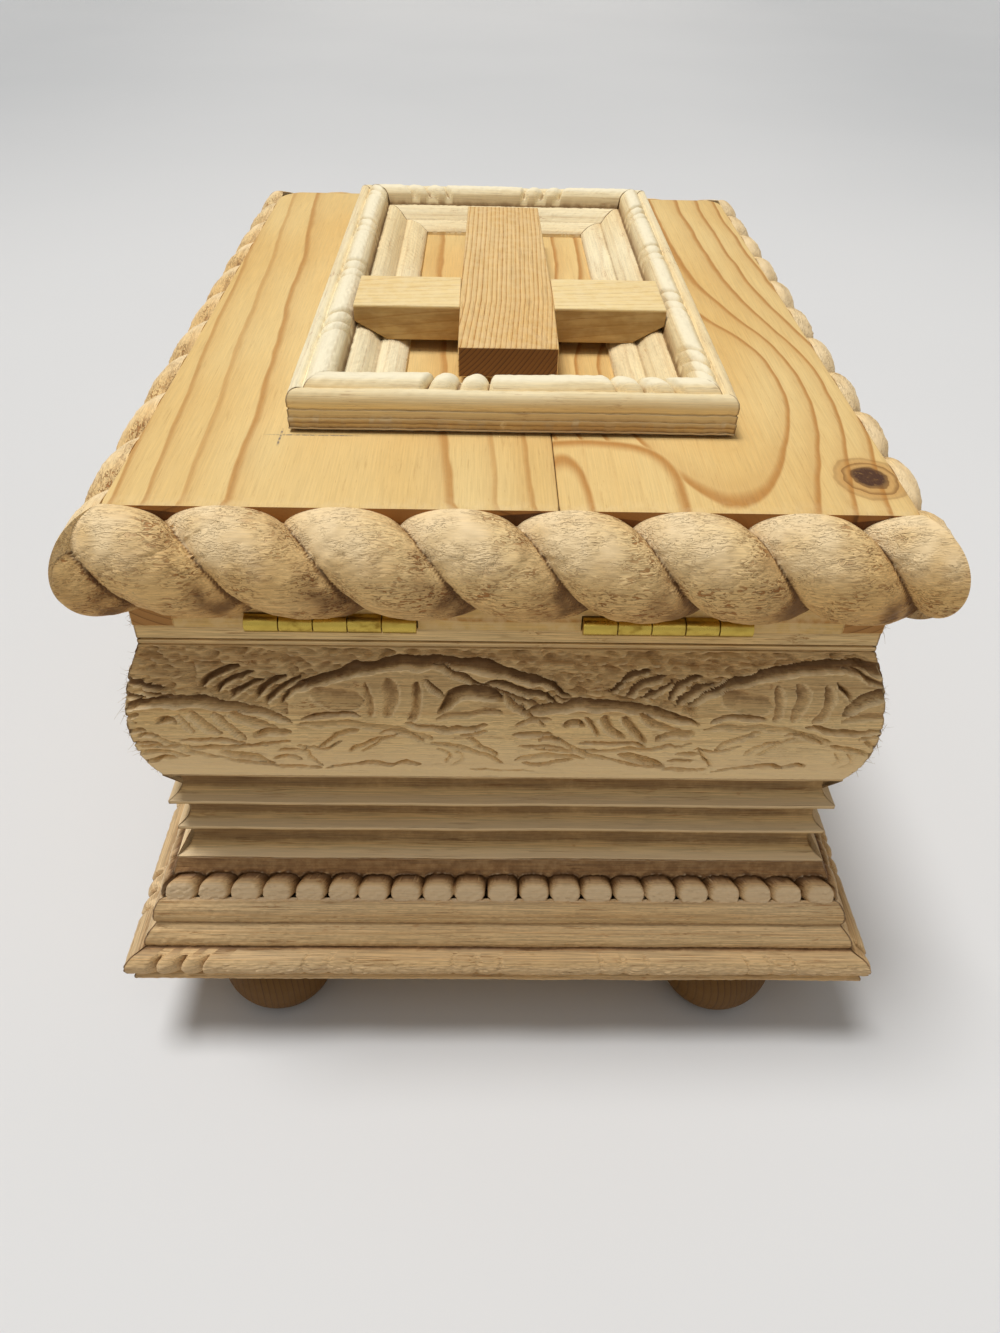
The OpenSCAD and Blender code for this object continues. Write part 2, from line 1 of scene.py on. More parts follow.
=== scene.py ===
"""Fine forms and finishes of a wooden prayer box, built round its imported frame.

Shapes are worked out in millimetres, with X along the hinge side, Y away from it and Z up.
"""
import math
import bmesh
import bpy
import numpy as np
from bpy.props import FloatProperty, FloatVectorProperty, PointerProperty
from bpy.types import Operator, Panel, PropertyGroup
from mathutils import Matrix, Vector


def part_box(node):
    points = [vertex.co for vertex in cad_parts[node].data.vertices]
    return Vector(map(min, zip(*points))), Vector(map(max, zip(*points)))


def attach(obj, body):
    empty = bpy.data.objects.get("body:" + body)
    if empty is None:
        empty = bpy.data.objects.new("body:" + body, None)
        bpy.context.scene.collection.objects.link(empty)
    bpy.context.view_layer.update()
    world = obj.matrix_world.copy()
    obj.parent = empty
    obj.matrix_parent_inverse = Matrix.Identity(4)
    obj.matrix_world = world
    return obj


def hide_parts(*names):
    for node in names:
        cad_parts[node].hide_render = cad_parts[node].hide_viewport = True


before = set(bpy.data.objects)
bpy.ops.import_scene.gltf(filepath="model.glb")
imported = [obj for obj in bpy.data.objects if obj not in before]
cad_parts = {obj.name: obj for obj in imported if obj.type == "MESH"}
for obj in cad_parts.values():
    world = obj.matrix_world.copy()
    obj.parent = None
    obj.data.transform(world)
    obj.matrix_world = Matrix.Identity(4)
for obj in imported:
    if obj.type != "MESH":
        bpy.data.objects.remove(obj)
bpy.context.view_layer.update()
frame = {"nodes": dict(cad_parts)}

bl_info = {
    "name": "Prayer Box",
    "version": (1, 0, 0),
    "blender": (4, 5, 0),
    "location": "3D View > Sidebar > Prayer Box",
    "description": "Builds the mouldings, boards, hinges and finishes of a wooden prayer box",
    "category": "Object",
}

MM = 0.001


def corner(node, high):
    """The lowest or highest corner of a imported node, in millimetres."""
    return np.array(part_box(node)[1 if high else 0]) / MM


LID_X, LID_Y, LID_Z = corner("lid_plank_right", True)
BOARD_Z = corner("lid_plank_right", False)[2]
SEAM_X = corner("lid_plank_left", True)[0]
WALL_X = corner("right_wall", True)[0]
WALL_Y = corner("far_wall", True)[1]
JOINT_Z = corner("right_wall", True)[2]
COVE_TOP = corner("cove_moulding_hinge", True)[2]
STRIP_TOP = corner("lobe_strip_hinge", True)[2]
BASE_TOP = corner("base_moulding_hinge", True)[2]
BASE_BOTTOM = corner("base_moulding_hinge", False)[2]
BASE_X, BASE_Y = corner("bottom_board", True)[:2]
FRAME_LOW = corner("frame_rail_left", False)
FRAME_HIGH = corner("frame_rail_right", True)
FRAME_MID = (FRAME_LOW + FRAME_HIGH) / 2
SIDES = ("hinge", "right", "far", "left")
FRAME_SIDES = ("near", "right", "far", "left")


def linear(value):
    """One channel from screen value to light value."""
    return value / 12.92 if value <= 0.04045 else ((value + 0.055) / 1.055) ** 2.4


def tone(code):
    """A colour written as six hex digits, as light values."""
    return tuple(linear(int(code[i:i + 2], 16) / 255) for i in (0, 2, 4))


def shaded(tint, shares):
    """A colour with each channel taken down to its share."""
    return tuple(value * share for value, share in zip(tint, shares))


# Sizes and colours

def length(name, description, millimetres):
    """A length that a user can change, kept in metres."""
    return FloatProperty(name=name, description=description, default=millimetres * MM,
                         unit="LENGTH", precision=5)


def colour(name, description, code):
    """A colour that a user can change."""
    return FloatVectorProperty(name=name, description=description, subtype="COLOR",
                               default=tone(code), min=0.0, max=1.0)


class BoxSizes(PropertyGroup):
    """Sizes of the fine forms."""
    rope_height: length("Rope height", "Height of the rope moulding", 35.8)
    rope_out: length("Rope depth", "How far the rope moulding stands out", 13.5)
    rope_pitch: length("Rope pitch", "Distance from one strand to the next", 32.25)
    rope_lead: length("Rope lead", "Shift of a groove from top to bottom", 25.8)
    rope_groove: length("Rope groove", "Depth of the grooves between strands", 4.4)
    carve_depth: length("Carving depth", "Depth of the deepest gouge cuts", 2.9)
    carve_repeat: length("Carving repeat", "Length of one repeat of the scroll", 128.7)
    lobe_pitch: length("Lobe pitch", "Distance from one lobe to the next", 11.65)
    lobe_radius: length("Lobe radius", "Radius of a lobe", 5.7)
    bead_radius: length("Bead radius", "Radius of the beads and reels", 4.2)
    bead_pitch: length("Bead pitch", "Distance from one bead to the next", 9.25)
    reel_length: length("Reel length", "Length of a reel between two pairs of beads", 37.0)
    mitre_gap: length("Mitre gap", "Width of the open joint at a mitre", 0.12)
    soft_edge: length("Soft edge", "Width of the worn edge of sawn boards", 0.45)


class BoxColours(PropertyGroup):
    """Colours of the finishes."""
    board: colour("Board", "Pale wood of the lid boards", "eacb8b")
    late: colour("Late wood", "Orange lines of the growth rings", "b9803b")
    knot: colour("Knot", "Heart of the knot", "4a2c18")
    rope: colour("Rope", "Wood of the rope moulding", "fbdba0")
    carved: colour("Carved wood", "Wood of the carved moulding", "f6daa4")
    cove: colour("Cove wood", "Wood of the coves", "dfc18c")
    base: colour("Base wood", "Wood of the base moulding and the lobed strip", "dbbf93")
    frame: colour("Frame wood", "Pale wood of the frame on the lid", "fbeec8")
    cross: colour("Cross wood", "Wood of the upright of the cross", "ecca8c")
    bar: colour("Bar wood", "Wood of the bar of the cross", "f6dda2")
    foot: colour("Foot wood", "Stained wood of the feet", "5e4016")
    # Darkest tint of the painted shade in hollows, grooves and undersides, and of dirt at open joints
    grime: colour("Grime", "Dirt in the hollows", "4d2e0c")
    brass: colour("Brass", "Metal of the hinges", "c2a64e")
    floor: colour("Floor", "Paper under the box", "dadada")


# Meshes

def ripple(x, y, size, seed, waves=20):
    """Smooth noise of about unit spread: the sum of sine waves about `size` long, in
    seeded directions and phases, over any two coordinates."""
    rng = np.random.default_rng(seed)
    total = np.zeros(np.broadcast(x, y).shape)
    for _ in range(waves):
        angle, phase = rng.uniform(0, 2 * np.pi, 2)
        k = 2 * np.pi / (size * rng.uniform(0.7, 1.8))
        total += np.sin(k * (np.cos(angle) * x + np.sin(angle) * y) + phase)
    return total * math.sqrt(2 / waves)


def smooth(low, high, value):
    """A soft step from 0 at `low` to 1 at `high`."""
    t = np.clip((value - low) / (high - low), 0, 1)
    return t * t * (3 - 2 * t)


def turned(points, side):
    """Points of the hinge side carried to side 0 hinge, 1 right, 2 far or 3 left."""
    x, y, z = np.moveaxis(points, -1, 0)
    x, y = ((x, y), (-y, x), (-x, -y), (y, -x))[side]
    return np.stack([x, y, z], -1)


def ring_sizes(side, x, y):
    """Half-length of a side and its distance from the middle."""
    return (x, y) if side % 2 == 0 else (y, x)


def spread(count, half):
    """Places from -1 to 1 along a side, with three close ones before each mitre."""
    near = 1 - np.array([0.25, 0.7, 1.4]) / half
    return np.unique(np.concatenate([np.linspace(-1, 1, count), near, -near]))[:, None]


def end_dirt(s, half):
    """Hollow value of the open joint: high in the last half millimetre before a mitre."""
    return 0.85 * smooth(0.6, 0.1, (1 - np.abs(s)) * half)


def keep_outward(verts, faces):
    """The faces, turned round if together they enclose a negative volume."""
    volume = 0.0
    for face in faces:
        a, b, c = (verts[face[:, k]] for k in (0, 1, 2))
        volume += np.einsum("ij,ij->i", a, np.cross(b, c)).sum()
        if face.shape[1] == 4:
            d = verts[face[:, 3]]
            volume += np.einsum("ij,ij->i", a, np.cross(c, d)).sum()
    return faces if volume > 0 else [face[:, ::-1] for face in faces]


def shell(points, backed=False):
    """Faces of a closed tube: points[i, j] runs i along the tube and j round it, and both
    ends are closed by a fan of triangles round their middle, or if `backed` round the
    middle of the flat back between the first and the last point."""
    n, m, _ = points.shape
    verts = points.reshape(-1, 3)
    i, j = np.meshgrid(np.arange(n - 1), np.arange(m), indexing="ij")
    k = (j + 1) % m
    quads = np.stack([i * m + j, (i + 1) * m + j, (i + 1) * m + k, i * m + k], -1).reshape(-1, 4)
    if backed:
        ends = (points[[0, -1], 0] + points[[0, -1], -1]) / 2
    else:
        ends = points[[0, -1]].mean(1)
    verts = np.concatenate([verts, ends])
    ring = np.arange(m)
    first = np.stack([ring, np.roll(ring, -1), np.full(m, n * m)], -1)
    last = np.stack([np.roll(ring, -1), ring, np.full(m, n * m + 1)], -1)
    last = last + [(n - 1) * m, (n - 1) * m, 0]
    return verts, keep_outward(verts, [quads, np.concatenate([first, last])])


def put_mesh(name, verts, faces, hollow=None, sharp=38.0, worn=None):
    """A mesh object at the origin from millimetre points; per point it keeps painted shade, with dirt at open
    joints, and painted highlight, with some wear."""
    mesh = bpy.data.meshes.new(name)
    mesh.from_pydata((verts * MM).tolist(), [], [f for part in faces for f in part.tolist()])
    mesh.polygons.foreach_set("use_smooth", np.ones(len(mesh.polygons), dtype=bool))
    for label, values in (("hollow", hollow), ("worn", worn)):
        if values is not None:
            layer = mesh.attributes.new(label, "FLOAT", "POINT")
            layer.data.foreach_set("value", np.clip(values, 0, 1).astype(np.float32))
    mesh.set_sharp_from_angle(angle=math.radians(sharp))
    mesh.validate()
    mesh.update()
    piece = bpy.data.objects.new(name, mesh)
    bpy.context.scene.collection.objects.link(piece)
    return piece


def tube(name, points, hollow=None, sharp=38.0, worn=None, backed=True):
    """A closed tube of points with its per-point painted shade and painted highlight values."""
    verts, faces = shell(points, backed)
    if hollow is not None:
        hollow = np.concatenate([hollow.reshape(-1), [0.3, 0.3]])
    if worn is not None:
        worn = np.concatenate([worn.reshape(-1), [0.0, 0.0]])
    return put_mesh(name, verts, faces, hollow, sharp, worn)


def dress(piece, material, body, slot, *nodes):
    """Gives a piece its material and its body, and hides the imported nodes that it stands for; `slot` is not
    used.
    """
    piece.data.materials.clear()
    piece.data.materials.append(material)
    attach(piece, body)
    if nodes:
        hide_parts(*nodes)
    return piece


def paint(node, material):
    """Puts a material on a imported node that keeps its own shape."""
    thing = frame["nodes"][node]
    for spot in thing.material_slots:
        spot.material = material
    if not thing.material_slots:
        thing.data.materials.append(material)


def softened(node, width, body, slot, material):
    """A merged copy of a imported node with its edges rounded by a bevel."""
    source = frame["nodes"][node]
    work = bmesh.new()
    work.from_mesh(source.data)
    bmesh.ops.remove_doubles(work, verts=work.verts, dist=1e-6)
    bmesh.ops.dissolve_limit(work, angle_limit=math.radians(1.0), verts=work.verts, edges=work.edges)
    mesh = bpy.data.meshes.new(node + "_worn")
    work.to_mesh(mesh)
    work.free()
    mesh.polygons.foreach_set("use_smooth", np.ones(len(mesh.polygons), dtype=bool))
    mesh.set_sharp_from_angle(angle=math.radians(30.0))
    piece = bpy.data.objects.new(node + "_worn", mesh)
    bpy.context.scene.collection.objects.link(piece)
    bevel = piece.modifiers.new("worn edge", "BEVEL")
    bevel.width = width
    bevel.segments = 2
    bevel.limit_method = "ANGLE"
    bevel.angle_limit = math.radians(30.0)
    bevel.use_clamp_overlap = True
    return dress(piece, material, body, slot, node)


def planed(piece, line, drop):
    """Slopes the top of a piece down towards its near end, from the given Y on, by up to
    `drop` millimetres."""
    mesh = piece.data
    work = bmesh.new()
    work.from_mesh(mesh)
    everything = work.verts[:] + work.edges[:] + work.faces[:]
    bmesh.ops.bisect_plane(work, geom=everything, plane_co=(0, line * MM, 0), plane_no=(0, 1, 0))
    work.to_mesh(mesh)
    work.free()
    spots = np.empty(3 * len(mesh.vertices), np.float32)
    mesh.vertices.foreach_get("co", spots)
    y, z = spots[1::3], spots[2::3]
    sloping = (z > z.max() - 0.5 * MM) & (y < line * MM)
    spots[2::3] = z - sloping * drop * MM * (line * MM - y) / (line * MM - y.min())
    mesh.vertices.foreach_set("co", spots)
    mesh.update()


# Material nodes

class Net:
    """Adds nodes to one tree and joins them."""

    def __init__(self, tree):
        self.tree = tree

    def put(self, socket, value):
        if isinstance(value, bpy.types.NodeSocket):
            self.tree.links.new(value, socket)
        else:
            socket.default_value = value

    def add(self, kind, settings=None, **values):
        node = self.tree.nodes.new(kind)
        for key, value in (settings or {}).items():
            setattr(node, key, value)
        for key, value in values.items():
            self.put(node.inputs[key.replace("_", " ")], value)
        return node

    def math(self, operation, a, b=None, clamp=False):
        node = self.add("ShaderNodeMath", {"operation": operation, "use_clamp": clamp})
        self.put(node.inputs[0], a)
        if b is not None:
            self.put(node.inputs[1], b)
        return node.outputs[0]

    def remap(self, value, low, high, start=0.0, end=1.0):
        node = self.add("ShaderNodeMapRange", {"interpolation_type": "SMOOTHSTEP"}, Value=value)
        for name, number in (("From Min", low), ("From Max", high), ("To Min", start), ("To Max", end)):
            self.put(node.inputs[name], number)
        return node.outputs[0]

    def scaled(self, vector, x, y, z):
        node = self.add("ShaderNodeVectorMath", {"operation": "MULTIPLY"})
        self.put(node.inputs[0], vector)
        self.put(node.inputs[1], (x, y, z))
        return node.outputs[0]

    def noise(self, vector, scale=1.0, detail=2.0, roughness=0.5, colour=False):
        node = self.add("ShaderNodeTexNoise", None, Vector=vector, Scale=scale, Detail=detail,
                        Roughness=roughness)
        return node.outputs["Color" if colour else 0]

    def blend(self, factor, a, b, kind="MIX"):
        node = self.add("ShaderNodeMix", {"data_type": "RGBA", "blend_type": kind})
        self.put(node.inputs[0], factor)
        for index, value in ((6, a), (7, b)):
            if isinstance(value, (tuple, list)) or hasattr(value, "foreach_get"):
                value = tuple(value)[:3] + (1.0,)
            self.put(node.inputs[index], value)
        return node.outputs[2]

    def apart(self, vector):
        return self.add("ShaderNodeSeparateXYZ", None, Vector=vector).outputs

    def joined(self, x, y, z):
        return self.add("ShaderNodeCombineXYZ", None, X=x, Y=y, Z=z).outputs[0]


def new_group(name, inputs, outputs):
    """An empty shader group with named inputs (kind, default) and outputs (kind)."""
    tree = bpy.data.node_groups.new(name, "ShaderNodeTree")
    for label, (kind, value) in inputs.items():
        socket = tree.interface.new_socket(label, in_out="INPUT", socket_type="NodeSocket" + kind)
        if value is not None:
            socket.default_value = value
    for label, kind in outputs.items():
        tree.interface.new_socket(label, in_out="OUTPUT", socket_type="NodeSocket" + kind)
    return tree, tree.nodes.new("NodeGroupInput").outputs, tree.nodes.new("NodeGroupOutput").inputs


def grain_group():
    """Growth rings of sawn pine. Rings are circles round a pith line that leans and bends
    along the grain (local Y); late wood is a dark band that ends sharply; fibres and flecks
    are noise drawn out along the grain."""
    tree, given, result = new_group("pine grain", {
        "Vector": ("Vector", None), "Pith X": ("Float", 0.0), "Pith Z": ("Float", -60.0),
        "Lean X": ("Float", 0.0), "Lean Z": ("Float", 0.0), "Bend": ("Float", 0.0),
        "Bend Y": ("Float", 0.0), "Bend Length": ("Float", 70.0), "Ring": ("Float", 4.0),
        "Phase": ("Float", 0.0), "Wobble": ("Float", 2.0), "Clear": ("Float", 0.0)},
        {"Late": "Float", "Fibre": "Float", "Cloud": "Float", "Fleck": "Float", "Scratch": "Float"})
    net = Net(tree)
    x, y, z = net.apart(given["Vector"])[:3]
    slow = net.noise(net.scaled(given["Vector"], 0.03, 0.011, 0.03), 1.0, 3.0, 0.55, colour=True)
    shift = net.apart(slow)
    pith_x = net.math("ADD", given["Pith X"], net.math("MULTIPLY", given["Lean X"], y))
    bend = net.math("DIVIDE", net.math("SUBTRACT", y, given["Bend Y"]), given["Bend Length"])
    bend = net.math("MULTIPLY", net.math("TANH", bend), given["Bend"])
    pith_z = net.math("ADD", given["Pith Z"], net.math("MULTIPLY", given["Lean Z"], y))
    pith_z = net.math("ADD", pith_z, bend)
    dx = net.math("ADD", net.math("SUBTRACT", x, pith_x),
                  net.math("MULTIPLY", net.math("SUBTRACT", shift[0], 0.5), given["Wobble"]))
    dz = net.math("ADD", net.math("SUBTRACT", z, pith_z),
                  net.math("MULTIPLY", net.math("SUBTRACT", shift[1], 0.5), given["Wobble"]))
    radius = net.math("SQRT", net.math("ADD", net.math("MULTIPLY", dx, dx), net.math("MULTIPLY", dz, dz)))
    count = net.math("ADD", net.math("DIVIDE", radius, given["Ring"]), given["Phase"])
    part = net.math("FRACT", count)
    late = net.math("MAXIMUM", net.remap(part, 0.7, 0.9), net.remap(part, 0.3, 0.9, 0.0, 0.3))
    late = net.math("MULTIPLY", late, net.remap(part, 0.93, 0.99, 1.0, 0.0))
    each = net.add("ShaderNodeTexWhiteNoise", {"noise_dimensions": "1D"}, W=net.math("FLOOR", count))
    late = net.math("MULTIPLY", late, net.remap(each.outputs[0], 0.0, 1.0, 0.55, 1.0))
    late = net.math("MULTIPLY", late, net.remap(net.math("SUBTRACT", radius, given["Clear"]), -3.0, 0.0))
    net.put(result["Late"], late)
    net.put(result["Fibre"], net.noise(net.scaled(given["Vector"], 2.4, 0.05, 2.4), 1.0, 4.0, 0.6))
    net.put(result["Cloud"], net.noise(net.scaled(given["Vector"], 0.02, 0.007, 0.02), 1.0, 2.0))
    fleck = net.noise(net.scaled(given["Vector"], 2.6, 0.22, 2.6), 1.0, 2.0)
    net.put(result["Fleck"], net.remap(fleck, 0.66, 0.76))
    scratch = net.noise(net.scaled(given["Vector"], 1.7, 0.055, 1.7), 1.0, 3.0, 0.7)
    gate = net.noise(net.scaled(given["Vector"], 0.3, 0.05, 0.3), 1.0, 2.0)
    marks = net.math("MULTIPLY", net.remap(scratch, 0.56, 0.66), net.remap(gate, 0.42, 0.62))
    net.put(result["Scratch"], marks)
    return tree


def fuzz_group():
    """The torn surface of machine-carved softwood: short worm-like pits where strongly bent
    noise is high, kept to patches by wider noise. Height is 1 on the sound surface."""
    tree, given, result = new_group("torn fibres", {
        "Vector": ("Vector", None), "Size": ("Float", 1.0), "Along": ("Float", 0.4),
        "Spread": ("Float", 0.5)}, {"Pits": "Float", "Height": "Float"})
    net = Net(tree)
    x, y, z = net.apart(given["Vector"])[:3]
    place = net.joined(net.math("DIVIDE", x, given["Size"]),
                       net.math("MULTIPLY", net.math("DIVIDE", y, given["Size"]), given["Along"]),
                       net.math("DIVIDE", z, given["Size"]))
    body = net.add("ShaderNodeTexNoise", None, Vector=place, Scale=1.15, Detail=1.0, Roughness=0.5,
                   Distortion=1.5).outputs[0]
    line = net.remap(body, 0.55, 0.61)
    patch = net.noise(net.scaled(given["Vector"], 0.16, 0.09, 0.16), 1.0, 2.0)
    patch = net.remap(net.math("ADD", patch, given["Spread"]), 0.85, 1.15)
    pits = net.math("MULTIPLY", line, patch)
    net.put(result["Pits"], pits)
    fine = net.noise(place, 2.2, 2.0)
    low = net.remap(body, 0.3, 0.53, 0.35, 0.0)
    rough = net.math("MULTIPLY", net.math("ADD", net.math("MULTIPLY", fine, 0.5), low), patch)
    net.put(result["Height"], net.math("ADD", net.math("SUBTRACT", 1.0, pits), rough))
    return tree


def shade_dirt_wear_group():
    """Painted shade where the mesh's shade value is high, with dirt at open joints, broken up by noise;
    raised edges are rubbed pale.
    """
    tree, given, result = new_group("grime and wear", {
        "Vector": ("Vector", None), "Hollow": ("Float", 0.0)}, {"Dirt": "Float", "Rubbed": "Float"})
    net = Net(tree)
    patch = net.noise(net.scaled(given["Vector"], 0.25, 0.25, 0.25), 1.0, 4.0, 0.65)
    amount = net.math("MULTIPLY", given["Hollow"], net.remap(patch, 0.25, 0.7, 0.88, 1.04))
    net.put(result["Dirt"], net.remap(amount, 0.08, 0.95))
    point = net.add("ShaderNodeNewGeometry").outputs["Pointiness"]
    lightened = net.remap(point, 0.51, 0.6)
    net.put(result["Rubbed"], net.math("MULTIPLY", lightened, net.remap(patch, 0.35, 0.65)))
    return tree


GROUPS = {}


def group(net, name, **values):
    """Places one of the shared groups in a tree; each is built the first time it is asked for."""
    makers = {"grain": grain_group, "fuzz": fuzz_group, "dirt": shade_dirt_wear_group}
    if name not in GROUPS:
        GROUPS[name] = makers[name]()
    node = net.add("ShaderNodeGroup", {"node_tree": GROUPS[name]})
    for key, value in values.items():
        net.put(node.inputs[key.replace("_", " ")], value)
    return node.outputs


def blank(name, **values):
    """A new material with a Principled surface; returns it with its net and its shader."""
    material = bpy.data.materials.new(name)
    material.use_nodes = True
    net = Net(material.node_tree)
    shader = material.node_tree.nodes["Principled BSDF"]
    for key, value in values.items():
        shader.inputs[key.replace("_", " ")].default_value = value
    return material, net, shader


def piece_space(net, along, middle):
    """Object coordinates in millimetres from `middle`, with the grain direction as Y."""
    coordinate = net.add("ShaderNodeTexCoord")
    place = net.add("ShaderNodeVectorMath", {"operation": "MULTIPLY_ADD"})
    net.put(place.inputs[0], coordinate.outputs["Object"])
    place.inputs[1].default_value = (1 / MM,) * 3
    place.inputs[2].default_value = tuple(-float(v) for v in middle)
    x, y, z = net.apart(place.outputs[0])[:3]
    order = {"X": (y, x, z), "Y": (x, y, z), "Z": (x, z, y)}[along]
    facing = net.math("ABSOLUTE", net.apart(coordinate.outputs["Normal"])["XYZ".index(along)])
    return net.joined(*order), facing, (x, y, z)


# Shares of red, green and blue that tints of the wood keep; the last two give painted shade: in hollows and
# undersides, and on the crossbar's sides
WARM = (0.93, 0.84, 0.70)
BROWN = (0.75, 0.62, 0.5)
SHADE_AND_DIRT_SHARES = (0.46, 0.34, 0.235)
SIDE_SHADE_SHARES = (0.50, 0.40, 0.29)
# Least and greatest roughness of bare pine
PINE_ROUGHNESS = (0.54, 0.74)


def rings_of(pith_x, pith_z, ring, wobble, **rest):
    """The grain group's values: place of the pith, width of a ring and how far it wavers."""
    return {"Pith X": pith_x, "Pith Z": pith_z, "Ring": ring, "Wobble": wobble, **rest}


def pine(name, pale, along="Y", middle=(0, 0, 0), strength=0.75, rings=None, fuzz=None,
         pit_depth=0.25, grime=0.75, end=0.55, streak=0.16, extra=None, lines=None, end_tone=BROWN):
    """Sawn or carved raw pine. `rings` are the grain group's values, `fuzz` the torn fibre
    group's; `lines` may change the late wood of one board and `extra` add marks to it."""
    tints = bpy.context.scene.box_colours
    pale = tuple(getattr(tints, pale))
    dark = tuple(tints.late)
    material, net, shader = blank(name)
    place, facing, raw = piece_space(net, along, middle)
    grain = group(net, "grain", Vector=place, **(rings or {}))
    colour = net.blend(net.remap(grain["Cloud"], 0.3, 0.7), pale, shaded(pale, WARM))
    ring_lines = lines(net, raw, grain["Late"]) if lines else grain["Late"]
    colour = net.blend(net.math("MULTIPLY", ring_lines, strength), colour, dark)
    fibre = net.remap(grain["Fibre"], 0.3, 0.7, 1.0 - streak, 1.0 + 0.3 * streak)
    colour = net.blend(1.0, colour, net.joined(fibre, fibre, fibre), "MULTIPLY")
    brown = shaded(dark, BROWN)
    colour = net.blend(net.math("MULTIPLY", grain["Fleck"], 0.3), colour, brown)
    cut = net.remap(facing, 0.8, 0.97)
    scratch = net.math("MULTIPLY", grain["Scratch"], net.math("SUBTRACT", 1.0, cut))
    colour = net.blend(net.math("MULTIPLY", scratch, 1.6 * streak), colour, brown)
    height = net.math("ADD", net.math("MULTIPLY", ring_lines, 0.25),
                      net.math("MULTIPLY", grain["Fibre"], 0.35 + streak))
    height = net.math("SUBTRACT", height, net.math("MULTIPLY", scratch, 4.0 * streak))
    worn = net.add("ShaderNodeAttribute", {"attribute_name": "worn"}).outputs["Fac"]
    if end:
        sawn = shaded(dark, end_tone)
        sawn = net.blend(ring_lines, sawn, shaded(sawn, (0.4,) * 3))
        colour = net.blend(net.math("MULTIPLY", cut, end), colour, sawn)
    if fuzz:
        torn = group(net, "fuzz", Vector=place, **fuzz)
        whole = net.math("SUBTRACT", 1.0, worn)
        pits = net.math("MULTIPLY", net.math("MULTIPLY", torn["Pits"], 0.82), whole)
        colour = net.blend(pits, colour, brown)
        height = net.math("ADD", height, net.math("MULTIPLY", torn["Height"], pit_depth / 0.1))
    # Painted shade, with dirt at open joints: darker and browner where the mesh's shade value is high, and
    # towards the deepest tint where it is highest
    hollow = net.add("ShaderNodeAttribute", {"attribute_name": "hollow"}).outputs["Fac"]
    dirt = group(net, "dirt", Vector=place, Hollow=hollow)
    amount = net.math("MULTIPLY", dirt["Dirt"], 1.25 * grime, clamp=True)
    colour = net.blend(amount, colour, net.blend(1.0, colour, SHADE_AND_DIRT_SHARES, "MULTIPLY"))
    deep_shade_and_dirt = net.math("MULTIPLY", net.remap(dirt["Dirt"], 0.6, 1.1), grime)
    colour = net.blend(deep_shade_and_dirt, colour, tuple(tints.grime))
    # Painted highlight, with wear: paler where the mesh's highlight value is high and on rubbed raised edges
    light = tuple(p + 0.15 * (0.97 - p) for p in pale)
    long_grain = net.math("SUBTRACT", 0.5, net.math("MULTIPLY", cut, 0.5))
    faces = net.math("MULTIPLY", dirt["Rubbed"], long_grain)
    lightened = net.math("MAXIMUM", faces, net.math("MULTIPLY", worn, 0.85))
    colour = net.blend(lightened, colour, light)
    if extra:
        colour = extra(net, raw, colour)
    net.put(shader.inputs["Base Color"], colour)
    net.put(shader.inputs["Roughness"], net.remap(grain["Fibre"], 0.2, 0.8, *PINE_ROUGHNESS))
    shader.inputs["Specular IOR Level"].default_value = 0.32
    bump = net.add("ShaderNodeBump", None, Height=height, Strength=0.9, Distance=0.0001)
    net.put(shader.inputs["Normal"], bump.outputs[0])
    return material


def moulding_pine(name, pale, side, low, rings, torn, end=0.0, **finish):
    """Carved pine for one length of moulding, with its grain along its side. `rings` goes to
    rings_of, and `torn` is the size, length and spread of the torn pits."""
    fuzz = dict(zip(("Size", "Along", "Spread"), torn))
    return pine(name, pale, "XY"[side % 2], (0, 0, low), rings=rings_of(*rings), fuzz=fuzz,
                end=end, **finish)


def painted_side_shade(net, raw, colour):
    """Painted shade on the crossbar's sides: browner than its planed top, with a soft blotch."""
    top = corner("cross_bar", True)[2] - LID_Z
    side = net.remap(raw[2], top - 1.2, top - 0.5, 1.0, 0.0)
    blotch = net.noise(net.scaled(net.joined(*raw), 0.09, 0.09, 0.2), 1.0, 3.0, 0.6)
    side = net.math("MULTIPLY", side, net.remap(blotch, 0.3, 0.65, 0.7, 1.0))
    return net.blend(side, colour, net.blend(1.0, colour, SIDE_SHADE_SHARES, "MULTIPLY"))


def spot(net, raw, centre, radii, soft=1.0):
    """A mask that is 1 inside an ellipse of X and Y and 0 outside it."""
    dx = net.math("DIVIDE", net.math("SUBTRACT", raw[0], centre[0]), radii[0])
    dy = net.math("DIVIDE", net.math("SUBTRACT", raw[1], centre[1]), radii[1])
    far = net.math("SQRT", net.math("ADD", net.math("MULTIPLY", dx, dx), net.math("MULTIPLY", dy, dy)))
    return net.remap(far, 1.0 - soft, 1.0, 1.0, 0.0), far


# Middle and half-widths of the knot's halo and of its heart, in X and Y
HALO = ((106.0, -136.5), (12.5, 15.0))
HEART = ((106.0, -136.0), (6.2, 7.4))


